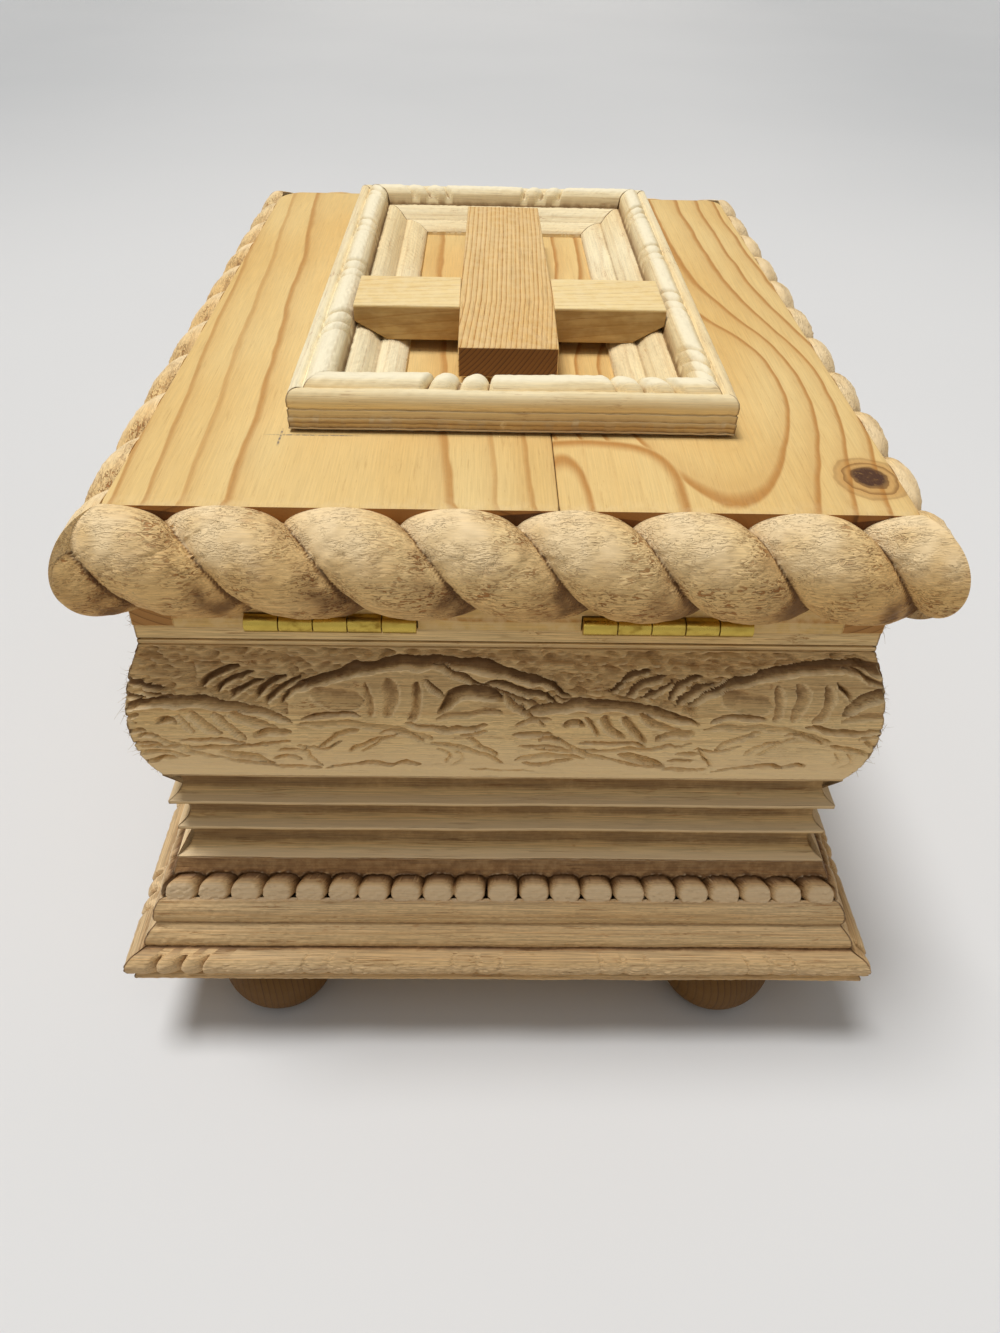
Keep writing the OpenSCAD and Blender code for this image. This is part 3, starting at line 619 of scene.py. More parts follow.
def knot_marks(net, raw, colour):
    """The knot near the corner of the right board: a dark split heart, rings and a halo."""
    tints = bpy.context.scene.box_colours
    warped = net.add("ShaderNodeVectorMath", {"operation": "MULTIPLY_ADD"})
    wander = net.noise(net.scaled(net.joined(*raw), 0.16, 0.16, 0.16), 1.0, 2.0, colour=True)
    net.put(warped.inputs[0], wander)
    warped.inputs[1].default_value = (3.0, 3.0, 3.0)
    net.put(warped.inputs[2], net.joined(*raw))
    near = net.apart(warped.outputs[0])
    halo, far = spot(net, near, *HALO, 0.35)
    ring = net.math("FRACT", net.math("MULTIPLY", far, 4.6))
    ring = net.math("MULTIPLY", net.remap(ring, 0.35, 0.9), net.remap(ring, 0.93, 1.0, 1.0, 0.0))
    colour = net.blend(net.math("MULTIPLY", halo, 0.55), colour, tuple(tints.late))
    dark = shaded(tints.late, (0.45,) * 3)
    colour = net.blend(net.math("MULTIPLY", net.math("MULTIPLY", ring, halo), 0.7), colour, dark)
    heart, _ = spot(net, near, *HEART, 0.4)
    crack = net.noise(net.scaled(net.joined(*raw), 0.5, 0.5, 0.5), 1.0, 4.0, 0.7)
    heart = net.math("MULTIPLY", heart, net.remap(crack, 0.25, 0.5, 0.6, 1.0))
    return net.blend(heart, colour, tuple(tints.knot))


def oval(net, raw, middle, radii, power):
    """Distance from a middle in units of an oval's radii, to the given power."""
    dx = net.math("DIVIDE", net.math("ABSOLUTE", net.math("SUBTRACT", raw[0], middle[0])), radii[0])
    dy = net.math("DIVIDE", net.math("ABSOLUTE", net.math("SUBTRACT", raw[1], middle[1])), radii[1])
    return net.math("ADD", net.math("POWER", dx, power), net.math("POWER", dy, power))


# The right board's figure: its axis, where it arches over, the width of a ring, and the
# middle and half-widths of the two small arches at the seam
FIGURE_X = 62.0
ARCH_Y, ARCH_REACH = -72.0, 70.0
FIGURE_RING = 6.6
SEAM_ARCH = (14.0, -163.0)
SEAM_ARCH_WIDE, SEAM_ARCH_SLIM = (34.0, 45.0), (8.0, 35.0)


def cathedral(net, raw, late):
    """Growth rings of the right board: they run along it, arch over towards the knot in the
    near part, and two small arches stand at the seam."""
    bend = net.noise(net.scaled(net.joined(*raw), 0.02, 0.012, 0.02), 1.0, 3.0, 0.55, colour=True)
    shift = net.apart(bend)
    x = net.math("ADD", raw[0], net.math("MULTIPLY", net.math("SUBTRACT", shift[0], 0.5), 7.0))
    y = net.math("ADD", raw[1], net.math("MULTIPLY", net.math("SUBTRACT", shift[1], 0.5), 12.0))
    side = net.math("SUBTRACT", x, FIGURE_X)
    down = net.math("DIVIDE", net.math("SUBTRACT", y, ARCH_Y), ARCH_REACH)
    fall = net.math("MULTIPLY", net.math("MULTIPLY", down, down), -1.0)
    rise = net.math("SUBTRACT", 1.0, net.math("EXPONENT", fall))
    square = net.math("ADD", net.math("MULTIPLY", side, side), net.math("MULTIPLY", rise, 1300.0))
    radius = net.math("SQRT", net.math("ADD", square, 400.0))
    part = net.math("FRACT", net.math("DIVIDE", net.math("SUBTRACT", radius, 31.0), FIGURE_RING))
    band = net.math("MAXIMUM", net.remap(part, 0.66, 0.9), net.remap(part, 0.2, 0.9, 0.0, 0.3))
    band = net.math("MULTIPLY", band, net.remap(part, 0.92, 0.99, 1.0, 0.0))
    band = net.math("MULTIPLY", band, net.remap(radius, 30.0, 34.0))
    far = oval(net, (x, y), SEAM_ARCH, SEAM_ARCH_WIDE, 4.0)
    band = net.math("MULTIPLY", band, net.remap(far, 0.9, 1.3))
    wide = net.math("MULTIPLY", net.remap(far, 0.6, 0.97), net.remap(far, 0.99, 1.2, 1.0, 0.0))
    far = oval(net, (x, y), SEAM_ARCH, SEAM_ARCH_SLIM, 2.0)
    slim = net.math("MULTIPLY", net.remap(far, 0.5, 0.95), net.remap(far, 0.98, 1.25, 1.0, 0.0))
    arches = net.math("MAXIMUM", wide, slim)
    fine = net.math("MULTIPLY", late, 0.16)
    return net.math("MAXIMUM", net.math("MAXIMUM", band, arches), fine)


def bold(net, raw, late):
    """Growth rings of the upright, drawn at full strength."""
    return net.math("MULTIPLY", late, 1.7, clamp=True)


# Colour of the setting-out lines
INK = "38405a"


def pen_marks(net, raw, colour):
    """Faint setting-out lines on the left board at the near corner of the frame."""
    x0, y0 = FRAME_LOW[0], FRAME_LOW[1]
    ink = None
    for centre, half in (((x0 + 8.0, y0 - 1.6), (14.0, 0.35)), ((x0 - 2.2, y0 - 3.0), (0.35, 5.5))):
        across = net.math("ABSOLUTE", net.math("SUBTRACT", raw[0], centre[0]))
        down = net.math("ABSOLUTE", net.math("SUBTRACT", raw[1], centre[1]))
        inside = net.math("MULTIPLY", net.remap(across, half[0] * 0.6, half[0] * 1.2, 1.0, 0.0),
                          net.remap(down, half[1] * 0.6, half[1] * 1.2, 1.0, 0.0))
        ink = inside if ink is None else net.math("MAXIMUM", ink, inside)
    faded = net.remap(net.noise(net.scaled(net.joined(*raw), 0.8, 0.8, 0.8)), 0.35, 0.6, 0.2, 0.75)
    faded = net.math("MULTIPLY", faded, net.remap(raw[2], -2.0, -1.0))
    return net.blend(net.math("MULTIPLY", ink, faded), colour, tone(INK))


# Shares of its colour that tarnished brass keeps
TARNISHED = (0.52, 0.42, 0.3)


def brass(name, tarnish):
    """Rolled brass: fine brushed lines along X, tarnish in patches and a worn bright face."""
    tint = tuple(bpy.context.scene.box_colours.brass)
    material, net, shader = blank(name, Metallic=1.0)
    place, _, _ = piece_space(net, "X", (0, 0, 0))
    patch = net.noise(net.scaled(place, 0.35, 0.2, 0.35), 1.0, 4.0, 0.6)
    mask = net.math("MULTIPLY", net.remap(patch, 0.45, 0.75), tarnish)
    net.put(shader.inputs["Base Color"], net.blend(mask, tint, shaded(tint, TARNISHED)))
    brushed = net.noise(net.scaled(place, 12.0, 0.6, 12.0), 1.0, 2.0)
    net.put(shader.inputs["Roughness"], net.math("ADD", net.remap(patch, 0.3, 0.7, 0.2, 0.36),
                                                 net.math("MULTIPLY", brushed, 0.1)))
    bump = net.add("ShaderNodeBump", None, Height=brushed, Strength=0.35, Distance=0.00004)
    net.put(shader.inputs["Normal"], bump.outputs[0])
    return material


# Rope moulding

# Where the grooves start on each side, and the step of the mesh along and round the rope
ROPE_STARTS = (-96.2, -149.0, -94.7, -149.0)
ROPE_STEP = 0.62
ROPE_COLUMNS = 49


def rope_points(side, start, sizes):
    """Half-round rope. The section is half an ellipse; grooves run round it like a screw,
    and between two grooves a strand has a circular crown. Ends follow the 45 degree mitre,
    found by repeating x = half length + outward reach."""
    height, reach, pitch, lead, groove = sizes
    half, away = ring_sizes(side, LID_X, LID_Y)
    angle = np.linspace(np.pi, 0, ROPE_COLUMNS)
    count = int(2 * half / ROPE_STEP)

    def cut(x, a):
        turn = (x - start - lead * a / np.pi) / pitch
        part = (turn - np.floor(turn)) * 2 - 1
        size = 1 + 0.05 * np.sin(12.9 * np.floor(turn) + side)
        crown = (1 - np.sqrt(1 - 0.95 * part ** 2)) / (1 - math.sqrt(0.05))
        return groove * crown * size, 1 - np.abs(part)

    def outward(x, a):
        return (reach - cut(x, a)[0]) * np.sin(a)

    ends = []
    for sign in (-1, 1):
        x = np.full(angle.shape, sign * half)
        for _ in range(8):
            x = 0.5 * x + 0.5 * sign * (half + outward(x, angle))
        ends.append(x)
    t = np.linspace(0, 1, count)[:, None]
    x = ends[0] * (1 - t) + ends[1] * t
    a = np.broadcast_to(angle, x.shape)
    depth, ridge = cut(x, a)
    tooth = 0.12 * ripple(0.5 * x, 14 * a, 1.6, 11 + side)
    tooth = tooth + 0.16 * ripple(x, 14 * a, 8.0, 21 + side)
    fade = smooth(0.0, 0.12, t * (1 - t) * 8) * smooth(0.0, 0.2, np.sin(a))
    out = outward(x, a) + tooth * fade
    z = LID_Z - height / 2 + height / 2 * np.cos(a) * (1 - depth / reach)
    points = np.stack([x, -(away + out), z], -1)
    turn = (x - start - lead * a / np.pi) / pitch
    part = turn - np.floor(turn)
    # Painted shade in the grooves, on the lower half and on the trailing side of each strand; painted
    # highlight, with some wear, on the upper leading side
    far_side = smooth(0.45, 1.0, part)
    below = smooth(0.5, -0.9, np.cos(a))
    blot = ripple(x, 14 * a, 9.0, 81 + side)
    hollow = smooth(0.07, 0.0, ridge) * 0.9 + 0.46 * below + 0.40 * far_side * (1 + 0.3 * blot)
    worn = smooth(0.85, 0.35, part) * smooth(-0.1, 0.75, np.cos(a)) * (0.9 + 0.2 * blot)
    return turned(points, side), np.clip(hollow, 0, 1), np.clip(worn, 0, 1)


class PRAYERBOX_OT_rope(Operator):
    """Builds the four lengths of rope moulding round the lid"""
    bl_idname = "prayerbox.rope"
    bl_label = "Rope Moulding"

    def execute(self, context):
        s = context.scene.box_sizes
        sizes = [v / MM for v in (s.rope_height, s.rope_out, s.rope_pitch, s.rope_lead, s.rope_groove)]
        for side, start in enumerate(ROPE_STARTS):
            material = moulding_pine("rope " + SIDES[side], "rope", side, LID_Z, (40.0, -70.0, 5.5, 4.0),
                                     (1.1, 0.28, 0.5), strength=0.35, streak=0.3, pit_depth=0.42, end=0.3)
            points, hollow, worn = rope_points(side, start, sizes)
            piece = tube("rope_strands_" + SIDES[side], points, hollow, 60, worn)
            dress(piece, material, "lid", "rope_pine", "rope_" + SIDES[side])
        return {"FINISHED"}


# Carved moulding

# Gouge cuts of the scroll in one repeat: three points of the middle line, in millimetres along
# and above the moulding's lower edge, then half width and depth as a share of the carving's depth
CUTS = (
    ((33, 38.5), (74, 49.5), (123, 39), 2.1, 1), ((79.5, 48), (96, 41.5), (114.5, 27.5), 1.3, 0.7),
    ((-21.5, 32.5), (6, 36), (35, 28.5), 2, 1), ((37, 27), (57, 27.5), (79.5, 21.5), 1.5, 0.45),
    ((38.5, 30), (47, 32), (57, 31), 1.1, 1), ((70.5, 28.5), (83, 26), (96.5, 28), 1.3, 1),
    ((81.5, 32.5), (89, 40), (100, 37), 2.4, 0.95), ((80.5, 30), (89.5, 32.5), (101.5, 32.5), 1.5, 0.4),
    ((106.5, 18.5), (114, 19), (121.5, 18), 0.8, 1), ((53.5, 8.5), (60.5, 9.5), (67, 8), 1, 1),
    ((66, 8), (71, 10), (74.5, 9), 1, 1), ((11, 15.5), (18.5, 12.5), (26, 9), 1.8, 1),
    ((26, 7), (34, 6.5), (41.5, 6.5), 1, 0.7), ((27, 11.5), (31.5, 12.5), (36, 11.5), 0.7, 0.8),
    ((22, 22), (28, 24.5), (34, 24.5), 1.7, 0.95), ((-7, 27), (-4.5, 29), (-2, 27), 1.7, 0.9),
    ((104.5, 24), (110.5, 24.2), (117, 24), 1.1, 1), ((-15, 21.5), (-12, 22.5), (-9, 21.5), 1, 0.9),
    ((-13.5, 9.5), (-8.5, 11.5), (-4.5, 11.5), 1.1, 0.8), ((108.5, 10), (114.5, 9.5), (120, 11.5), 1, 0.8),
    ((6.5, 39.5), (11, 44.5), (19, 47), 1.5, 0.9), ((11.5, 38), (16, 42.5), (24, 45.5), 1.3, 0.8),
    ((16, 37.5), (20.5, 40.5), (26.5, 43), 1.2, 0.8), ((25, 37), (28, 42), (34.5, 45), 1.5, 0.9),
    ((27, 35.5), (31.5, 40), (39, 43.5), 1.3, 0.8), ((31, 35), (35, 39), (40, 41.5), 1.1, 0.7),
    ((-11.5, 39.5), (-6.5, 37.5), (-1, 37), 1.1, 0.7), ((-1, 31.5), (1.5, 28), (3.5, 23.5), 1.2, 0.75),
    ((3.5, 32), (6, 28.5), (11, 23), 1.7, 0.8), ((11, 32), (14, 27.5), (19.5, 21), 1.8, 0.85),
    ((16, 32.5), (21, 29), (30, 26.5), 1.8, 0.7), ((-2, 20), (7, 20.5), (19, 19.5), 0.9, 0.8),
    ((58.5, 43), (59.5, 37), (59, 30.5), 1.5, 0.45), ((65, 44), (66.5, 37), (64.5, 30.5), 2.2, 0.45),
    ((74, 43.5), (75, 37), (71.5, 29.5), 1.8, 0.55), ((42, 40.5), (50, 37), (57.5, 37), 4.2, 0.4),
    ((96, 43), (105, 41.5), (118, 36), 1.5, 0.9), ((98.5, 40), (106, 38), (114, 33.5), 1.2, 0.7),
    ((42, 17.5), (47, 22), (56, 25.5), 1.1, 0.6), ((51.5, 14.5), (56, 19.5), (63, 22), 1, 0.6),
    ((56, 15), (61, 19.5), (68, 23.5), 0.8, 0.45), ((63, 24.5), (70.5, 24), (77, 20.5), 0.9, 0.6),
    ((89.5, 22.5), (95, 19), (100, 14), 1.2, 0.65), ((79.5, 20), (90.5, 17), (101.5, 10), 1.2, 0.6),
    ((88, 23), (92, 24.5), (96.5, 25), 0.8, 0.7), ((-15.5, 17.5), (7, 17), (34.5, 21), 0.9, 0.7),
    ((-10, 23.5), (-3, 17.5), (8.5, 11.5), 1.1, 0.6), ((8, 12.5), (17, 9.5), (26.5, 8), 0.8, 0.6),
    ((36, 18.5), (39.5, 13), (42, 7.5), 0.8, 0.6), ((105.5, 11), (117, 14.5), (128.5, 12.5), 1.1, 0.65),
    ((35.5, 18), (40.5, 17), (50, 20), 0.6, 0.7), ((29.5, 15.5), (33, 16), (37, 15), 0.8, 0.8),
    ((43, 5.5), (51.5, 8), (61.5, 10), 0.6, 0.6), ((77, 44.5), (79.5, 41.5), (81.5, 38), 1, 0.7),
    ((106, 28), (110.5, 30), (117, 31), 1, 0.7), ((90.5, 5.5), (106, 5), (121.5, 3), 0.5, 0.5),
    ((81.5, 17), (84, 13.5), (83, 9.5), 0.8, 0.35), ((85.5, 16.5), (88, 12.5), (85.5, 8), 0.7, 0.3),
)
# The two arches above which the ground is stippled
ARCHES = (((33, 40.5), (74, 51.5), (124, 40.5)), ((-21.5, 34.5), (6, 38), (34, 31.5)))
# Where a repeat of the scroll starts on each side, and the step of the mesh along it
SCROLL_STARTS = (-103.0, -60.0, 14.0, 40.0)
CARVING_STEP = 0.58
# Height of the plain top above the cushion, and its fillets as outward reach and height from
# the moulding's top
PLAIN_TOP = 7.2
FILLETS = np.array([(7.0, -6.9), (7.0, -6.65), (8.0, -6.6), (8.05, -6.0), (8.0, -5.35), (7.1, -5.2),
                    (7.1, -4.6), (8.0, -4.5), (8.0, -3.5), (8.0, -1.5), (8.0, -0.3), (7.7, 0.0), (0.0, 0.0)])
# Columns of the fillets, counted from the last, that lie in the quirk under each of them
LOWER_QUIRK, UPPER_QUIRK = slice(-12, -9), slice(-8, -6)


def circle_through(a, b, c):
    """Middle and radius of the circle through three points."""
    a, b, c = (np.array(p, float) for p in (a, b, c))
    rows = np.array([b - a, c - a])
    middle = np.linalg.solve(2 * rows, (rows * (rows + 2 * a)).sum(1))
    return middle, float(np.linalg.norm(a - middle))


def wrapped(u, middle, repeat):
    """Distance along the moulding from `middle` to the nearest copy of u."""
    return np.mod(u - middle + repeat / 2, repeat) - repeat / 2


def gouge(u, v, a, b, c, half, depth, repeat):
    """One cut along the circle through three points: a lens that narrows to its ends, with a
    steep wall on its upper left side and a slow rise to a crest on the other. Returns how
    deep it is and how near its crest."""
    middle, radius = circle_through(a, b, c)
    turn = [math.atan2(p[1] - middle[1], p[0] - middle[0]) for p in (a, b, c)]
    du = wrapped(u, b[0], repeat) + b[0] - middle[0]
    around = np.mod(np.arctan2(v - middle[1], du) - turn[1] + np.pi, 2 * np.pi) - np.pi
    first, last = (math.remainder(t - turn[1], 2 * math.pi) for t in (turn[0], turn[2]))
    s = np.where(around * first > 0, around / first, around / last)
    wide = half * np.sqrt(np.clip(1 - s ** 4, 0, 1))
    away = np.hypot(du, v - middle[1]) - radius
    if b[1] - middle[1] < 0.55 * (b[0] - middle[0]):
        away = -away
    q = (wide - away) / np.maximum(2 * wide, 0.05)
    inside = (q > 0) * (q < 1) * (s < 1)
    wall = max(0.45 / (2 * half), 0.34)
    cut = inside * 1.35 * depth * smooth(0, wall, q) * np.clip(1 - q, 0, 1) ** 0.8
    crest = np.exp(-((away + wide) / 0.38) ** 2) * smooth(1.0, 0.85, s) * depth
    return cut, crest


def scroll_relief(x, v, repeat, seed):
    """Depth of the carving as a share of its full depth, its crests, and how deep in a
    stroke each point lies. Above the arches the ground is stippled with a punch, below them
    the cuts lie in the smooth belly."""
    u = np.mod(x, repeat)
    bent_u = u + 0.40 * ripple(x, v, 9.0, seed) + 0.10 * ripple(x, v, 2.2, seed + 8)
    bent_v = v + 0.26 * ripple(x, v, 9.0, seed + 1) + 0.10 * ripple(x, v, 2.4, seed + 9)
    above = np.zeros(u.shape)
    for a, b, c in ARCHES:
        middle, radius = circle_through(a, b, c)
        du = wrapped(bent_u, b[0], repeat) + b[0]
        line = middle[1] + np.sqrt(np.clip(radius ** 2 - (du - middle[0]) ** 2, 0, None))
        above = np.maximum(above, (du > a[0]) * (du < c[0]) * smooth(-0.3, 0.3, bent_v - line))
    dash, blot = ripple(0.35 * x, v, 1.5, seed + 5), ripple(0.6 * x, v, 4.5, seed + 6)
    cut = 0.012 * ripple(0.1 * x, v, 1.5, seed + 2) + 0.05 * ripple(x, v, 8.0, seed + 4)
    cut = cut + above * np.clip(0.26 + 0.14 * dash + 0.17 * blot, 0, 1)
    crest, stroke = np.zeros(u.shape), np.zeros(u.shape)
    for a, b, c, half, depth in CUTS:
        deep, near = gouge(bent_u, bent_v, a, b, c, half, depth, repeat)
        stroke = np.maximum(stroke, deep)
        cut = np.where(deep > 0, np.maximum(deep, 0.6 * cut), cut)
        crest = np.maximum(crest, near)
    cut = cut - 0.16 * crest * (1 - smooth(0.0, 0.5, cut))
    ridge = np.exp(-((v - 3.6 - 0.5 * ripple(x, 0 * v, 30.0, seed + 3)) / 0.5) ** 2)
    low = smooth(5.5, 3.5, v)
    crest = np.maximum(crest * (1 - smooth(0.1, 0.6, cut)), ridge * low)
    return cut * (1 - low) + low * (0.08 - 0.12 * ridge), crest, stroke + 0.3 * above * cut


def belly(v, height):
    """Outward reach of the smooth cushion: the circle through its foot, belly and top."""
    centre, radius = circle_through((10.3, 0.0), (15.0, height * 0.46), (8.2, height - 7.4))
    return centre[0] + np.sqrt(radius ** 2 - (v - centre[1]) ** 2)


def carved_points(side, start, depth, repeat, gap):
    """The carved cushion: its ground lies `depth` inside the belly's circle, the scroll
    stands on it, and two fillets close it above."""
    half, away = ring_sizes(side, WALL_X, WALL_Y)
    height = JOINT_Z - COVE_TOP
    rows = np.linspace(0, height - PLAIN_TOP, 150)
    s = spread(int(2 * (half + 12) / CARVING_STEP), half)
    count = len(s)
    v = np.broadcast_to(rows, (count, len(rows)))
    x = s * (half + belly(v, height))
    cut, crest, stroke = scroll_relief(x - start, v, repeat, 31 + side)
    edge = smooth(0.4, 1.6, v) * smooth(height - PLAIN_TOP, height - PLAIN_TOP - 1.2, v)
    edge = edge * (0.25 + 0.75 * smooth(half + 12.8, half + 10.5, np.abs(s) * (half + 13)))
    out = belly(v, height) - cut * depth * edge + 0.04 * ripple(x, v, 2.0, 51 + side)
    fillets = np.broadcast_to(FILLETS, (count, *FILLETS.shape))
    zero = np.zeros((count, 1))
    out = np.concatenate([zero, out, fillets[:, :, 0]], 1)
    z = np.concatenate([zero, v, fillets[:, :, 1] + height], 1)
    # Painted shade in the gouge strokes and over the upper part, under the rope's overhang, less on the
    # crests; painted shade in the two quirks
    overhang = 0.12 * smooth(16, 28, v) + 0.38 * smooth(22, 44, v)
    shade = 0.55 * np.clip(stroke, 0, 1) ** 0.8 + overhang * (1 - 0.9 * crest)
    hollow = np.concatenate([zero, shade, np.zeros((count, len(FILLETS)))], 1)
    hollow[:, LOWER_QUIRK] = 0.5
    hollow[:, UPPER_QUIRK] = 0.8
    hollow = np.maximum(hollow, end_dirt(s, half))
    # Painted light: the lower part is lighter outside the cuts, and the crests carry a painted highlight
    lightened = 0.85 * smooth(30, 3, v) * (1 - smooth(0.05, 0.5, cut))
    worn = np.zeros(hollow.shape)
    worn[:, 1:-len(FILLETS)] = np.maximum(crest, lightened)
    points = np.stack([s * (half + out - gap), -(away + out), COVE_TOP + z], -1)
    return turned(points, side), hollow, worn


class PRAYERBOX_OT_carved(Operator):
    """Builds the four lengths of carved moulding at the top of the case"""
    bl_idname = "prayerbox.carved"
    bl_label = "Carved Moulding"

    def execute(self, context):
        s = context.scene.box_sizes
        for side, start in enumerate(SCROLL_STARTS):
            material = moulding_pine("carved " + SIDES[side], "carved", side, COVE_TOP,
                                     (-60.0, 90.0, 6.0, 5.0), (1.3, 0.3, 0.32),
                                     strength=0.3, pit_depth=0.12, streak=0.3)
            points, hollow, worn = carved_points(side, start, s.carve_depth / MM, s.carve_repeat / MM,
                                                 s.mitre_gap / MM)
            piece = tube("scroll_carving_" + SIDES[side], points, hollow, 50, worn)
            dress(piece, material, "case", "carved_pine", "carved_moulding_" + SIDES[side])
        return {"FINISHED"}


# Coves

# Outward reach of the coves' lower and upper edges, from the lowest cove up, and their depth
COVE_EDGES = ((12.0, 10.0), (10.0, 10.6), (10.6, 10.4))
COVE_DEPTH = 4.6


def cove_profile():
    """Outward reach and height of the three coves: circular hollows between ridges."""
    height = COVE_TOP - STRIP_TOP
    third = height / 3
    edge = [(0.0, 0.0), (11.8, 0.0), (12.0, 0.3), (12.0, 0.7)]
    for k, (first, last) in enumerate(COVE_EDGES):
        low, high = k * third, (k + 1) * third
        for t in np.linspace(0, 1, 15):
            reach = first * (1 - t) + last * t - COVE_DEPTH * (1 - (2 * t - 1) ** 2) ** 0.6
            edge.append((reach, low + 0.7 + (high - low - 1.4) * t))
        edge.append((last, high - 0.25))
        if k < 2:
            edge.append((last, high + 0.25))
    edge += [(10.2, height), (0.0, height)]
    return np.array(edge)


class PRAYERBOX_OT_coves(Operator):
    """Builds the four lengths of triple cove moulding"""
    bl_idname = "prayerbox.coves"
    bl_label = "Cove Moulding"

    def execute(self, context):
        gap = context.scene.box_sizes.mitre_gap / MM
        edge = cove_profile()
        third = (COVE_TOP - STRIP_TOP) / 3
        rise = np.mod(edge[:, 1] - 0.1, third) / third
        # Painted shade on the upper part of each cove, under the lip above it, and a painted highlight on
        # each lip
        shade = smooth(0.15, 0.36, rise) * smooth(1.0, 0.93, rise) * (edge[:, 0] > 1)
        lip = (smooth(0.22, 0.02, rise) + smooth(0.96, 0.99, rise)) * (edge[:, 0] > 1)
        for side in range(4):
            half, away = ring_sizes(side, WALL_X, WALL_Y)
            s = spread(int(half / 1.2), half)
            wave = 0.10 * ripple(s * half, edge[:, 1] * 0.3, 60.0, 51 + side)
            wave = wave + 0.04 * ripple(s * half, edge[:, 1], 5.0, 55 + side)
            out = edge[:, 0] + wave * (edge[:, 0] > 1)
            z = np.broadcast_to(edge[:, 1] + STRIP_TOP, out.shape)
            points = np.stack([s * (half + out - gap), -(away + out), z], -1)
            dusk = (0.82 + 0.06 * ripple(s * half, 0 * s, 30.0, 57 + side)) * shade
            hollow = np.maximum(dusk, end_dirt(s, half))
            worn = np.broadcast_to(np.clip(lip, 0, 1), hollow.shape)
            material = moulding_pine("cove " + SIDES[side], "cove", side, STRIP_TOP, (50.0, 60.0, 4.0, 3.0),
                                     (0.9, 0.10, 0.3), strength=0.25, pit_depth=0.05, streak=0.34, grime=0.5)
            piece = tube("coves_" + SIDES[side], turned(points, side), hollow, 30, worn)
            dress(piece, material, "case", "cove_pine", "cove_moulding_" + SIDES[side])
        return {"FINISHED"}


# Lobed strip

# Outward reach of the lobes, height of their flat foot, and the step of the mesh along them
LOBE_FRONT = 19.6
LOBE_FOOT = 3.0
LOBE_STEP = 0.4


def lobe_points(side, pitch, radius, gap):
    """A row of lobes: each is half a rounded ball with a flat foot, under an arched hood.
    The back ground slopes from the strip's foot to the coves."""
    half, away = ring_sizes(side, WALL_X, WALL_Y)
    height = STRIP_TOP - BASE_TOP
    rows = np.linspace(0, height, 41)
    s = spread(int(2 * (half + LOBE_FRONT) / LOBE_STEP), half)
    count = len(s)
    v = np.broadcast_to(rows, (count, len(rows)))
    ground = np.interp(v, (0, height - 5.4, height - 2.4, height), (13.9, 14.2, 13.0, 12.2))
    x = s * (half + LOBE_FRONT - 1.5)
    index = np.round(x / pitch)
    rng = np.random.default_rng(61 + side)
    jitter = rng.normal(0, 1, (4, 200))
    pick = (index + 100).astype(int)
    dx = np.abs(x - index * pitch - 0.2 * jitter[0][pick]) / (radius * (1 + 0.015 * jitter[2][pick]))
    up = np.clip(v - LOBE_FOOT, 0, None) / (5.3 + 0.25 * jitter[1][pick])
    far = (dx ** 3.4 + up ** 2.2) ** (1 / 2.6) + 0.25 * smooth(0.62, 0.95, dx) * smooth(1.7, 0.0, v)
    lobe = LOBE_FRONT - 0.3 * far ** 2 - 1.7 * far ** 10 - 0.15 * v - 0.12 * np.abs(jitter[3][pick])
    lobe = lobe + 0.07 * ripple(x, v, 2.0, 63 + side)
    hood = 0.6 * np.exp(-((far - 1.24) / 0.09) ** 2) * smooth(3.5, 6.5, v)
    plain = ground + hood + 0.13 * ripple(x, v, 1.9, 65 + side) * smooth(1.6, 1.05, far)
    out = np.where(far < 1, np.maximum(lobe, plain), plain)
    # Painted shade in the groove round each lobe, towards its rim, on the ground round it and a little
    # everywhere, and the ground is darker in a ragged ring just outside each lobe; painted highlight, with
    # some wear, on each lobe's front
    moat = np.exp(-((far - 1.04) / 0.06) ** 2)
    dark_ring = smooth(1.4, 1.1, far) * (far > 1) * (0.55 + 0.35 * ripple(x, 2 * v, 5.0, 67 + side))
    above = smooth(0.98, 1.06, far)
    hollow = np.clip(0.5 * moat + 0.5 * dark_ring + 0.3 * smooth(0.6, 1.0, far) + 0.3 * above + 0.1, 0, 1)
    worn = np.clip(0.8 * smooth(0.95, 0.7, far), 0, 1)
    zero = np.zeros((count, 1))
    out = np.concatenate([zero, out, zero], 1)
    z = np.concatenate([zero, v, zero + height], 1)
    hollow = np.concatenate([zero, hollow, zero], 1)
    hollow = np.maximum(hollow, end_dirt(s, half))
    worn = np.concatenate([zero, worn, zero], 1)
    points = np.stack([s * (half + out - gap), -(away + out), BASE_TOP + z], -1)
    return turned(points, side), hollow, worn


class PRAYERBOX_OT_lobes(Operator):
    """Builds the four lengths of lobed strip under the coves"""
    bl_idname = "prayerbox.lobes"
    bl_label = "Lobed Strip"

    def execute(self, context):
        s = context.scene.box_sizes
        for side in range(4):
            material = moulding_pine("lobes " + SIDES[side], "base", side, BASE_TOP, (50.0, 60.0, 4.0, 3.0),
                                     (0.9, 0.35, 0.3), strength=0.25, pit_depth=0.08, streak=0.3, grime=0.9)
            points, hollow, worn = lobe_points(side, s.lobe_pitch / MM, s.lobe_radius / MM, s.mitre_gap / MM)
            piece = tube("lobes_" + SIDES[side], points, hollow, 55, worn)
            dress(piece, material, "case", "strip_pine", "lobe_strip_" + SIDES[side])
        return {"FINISHED"}


# Bead and reel mouldings

# Middle of the bead row from the outer edge, height of its axis, and the step of the mesh
BEAD_MID = 9.2
BEAD_RISE = 11.0
BEAD_STEP = 0.6
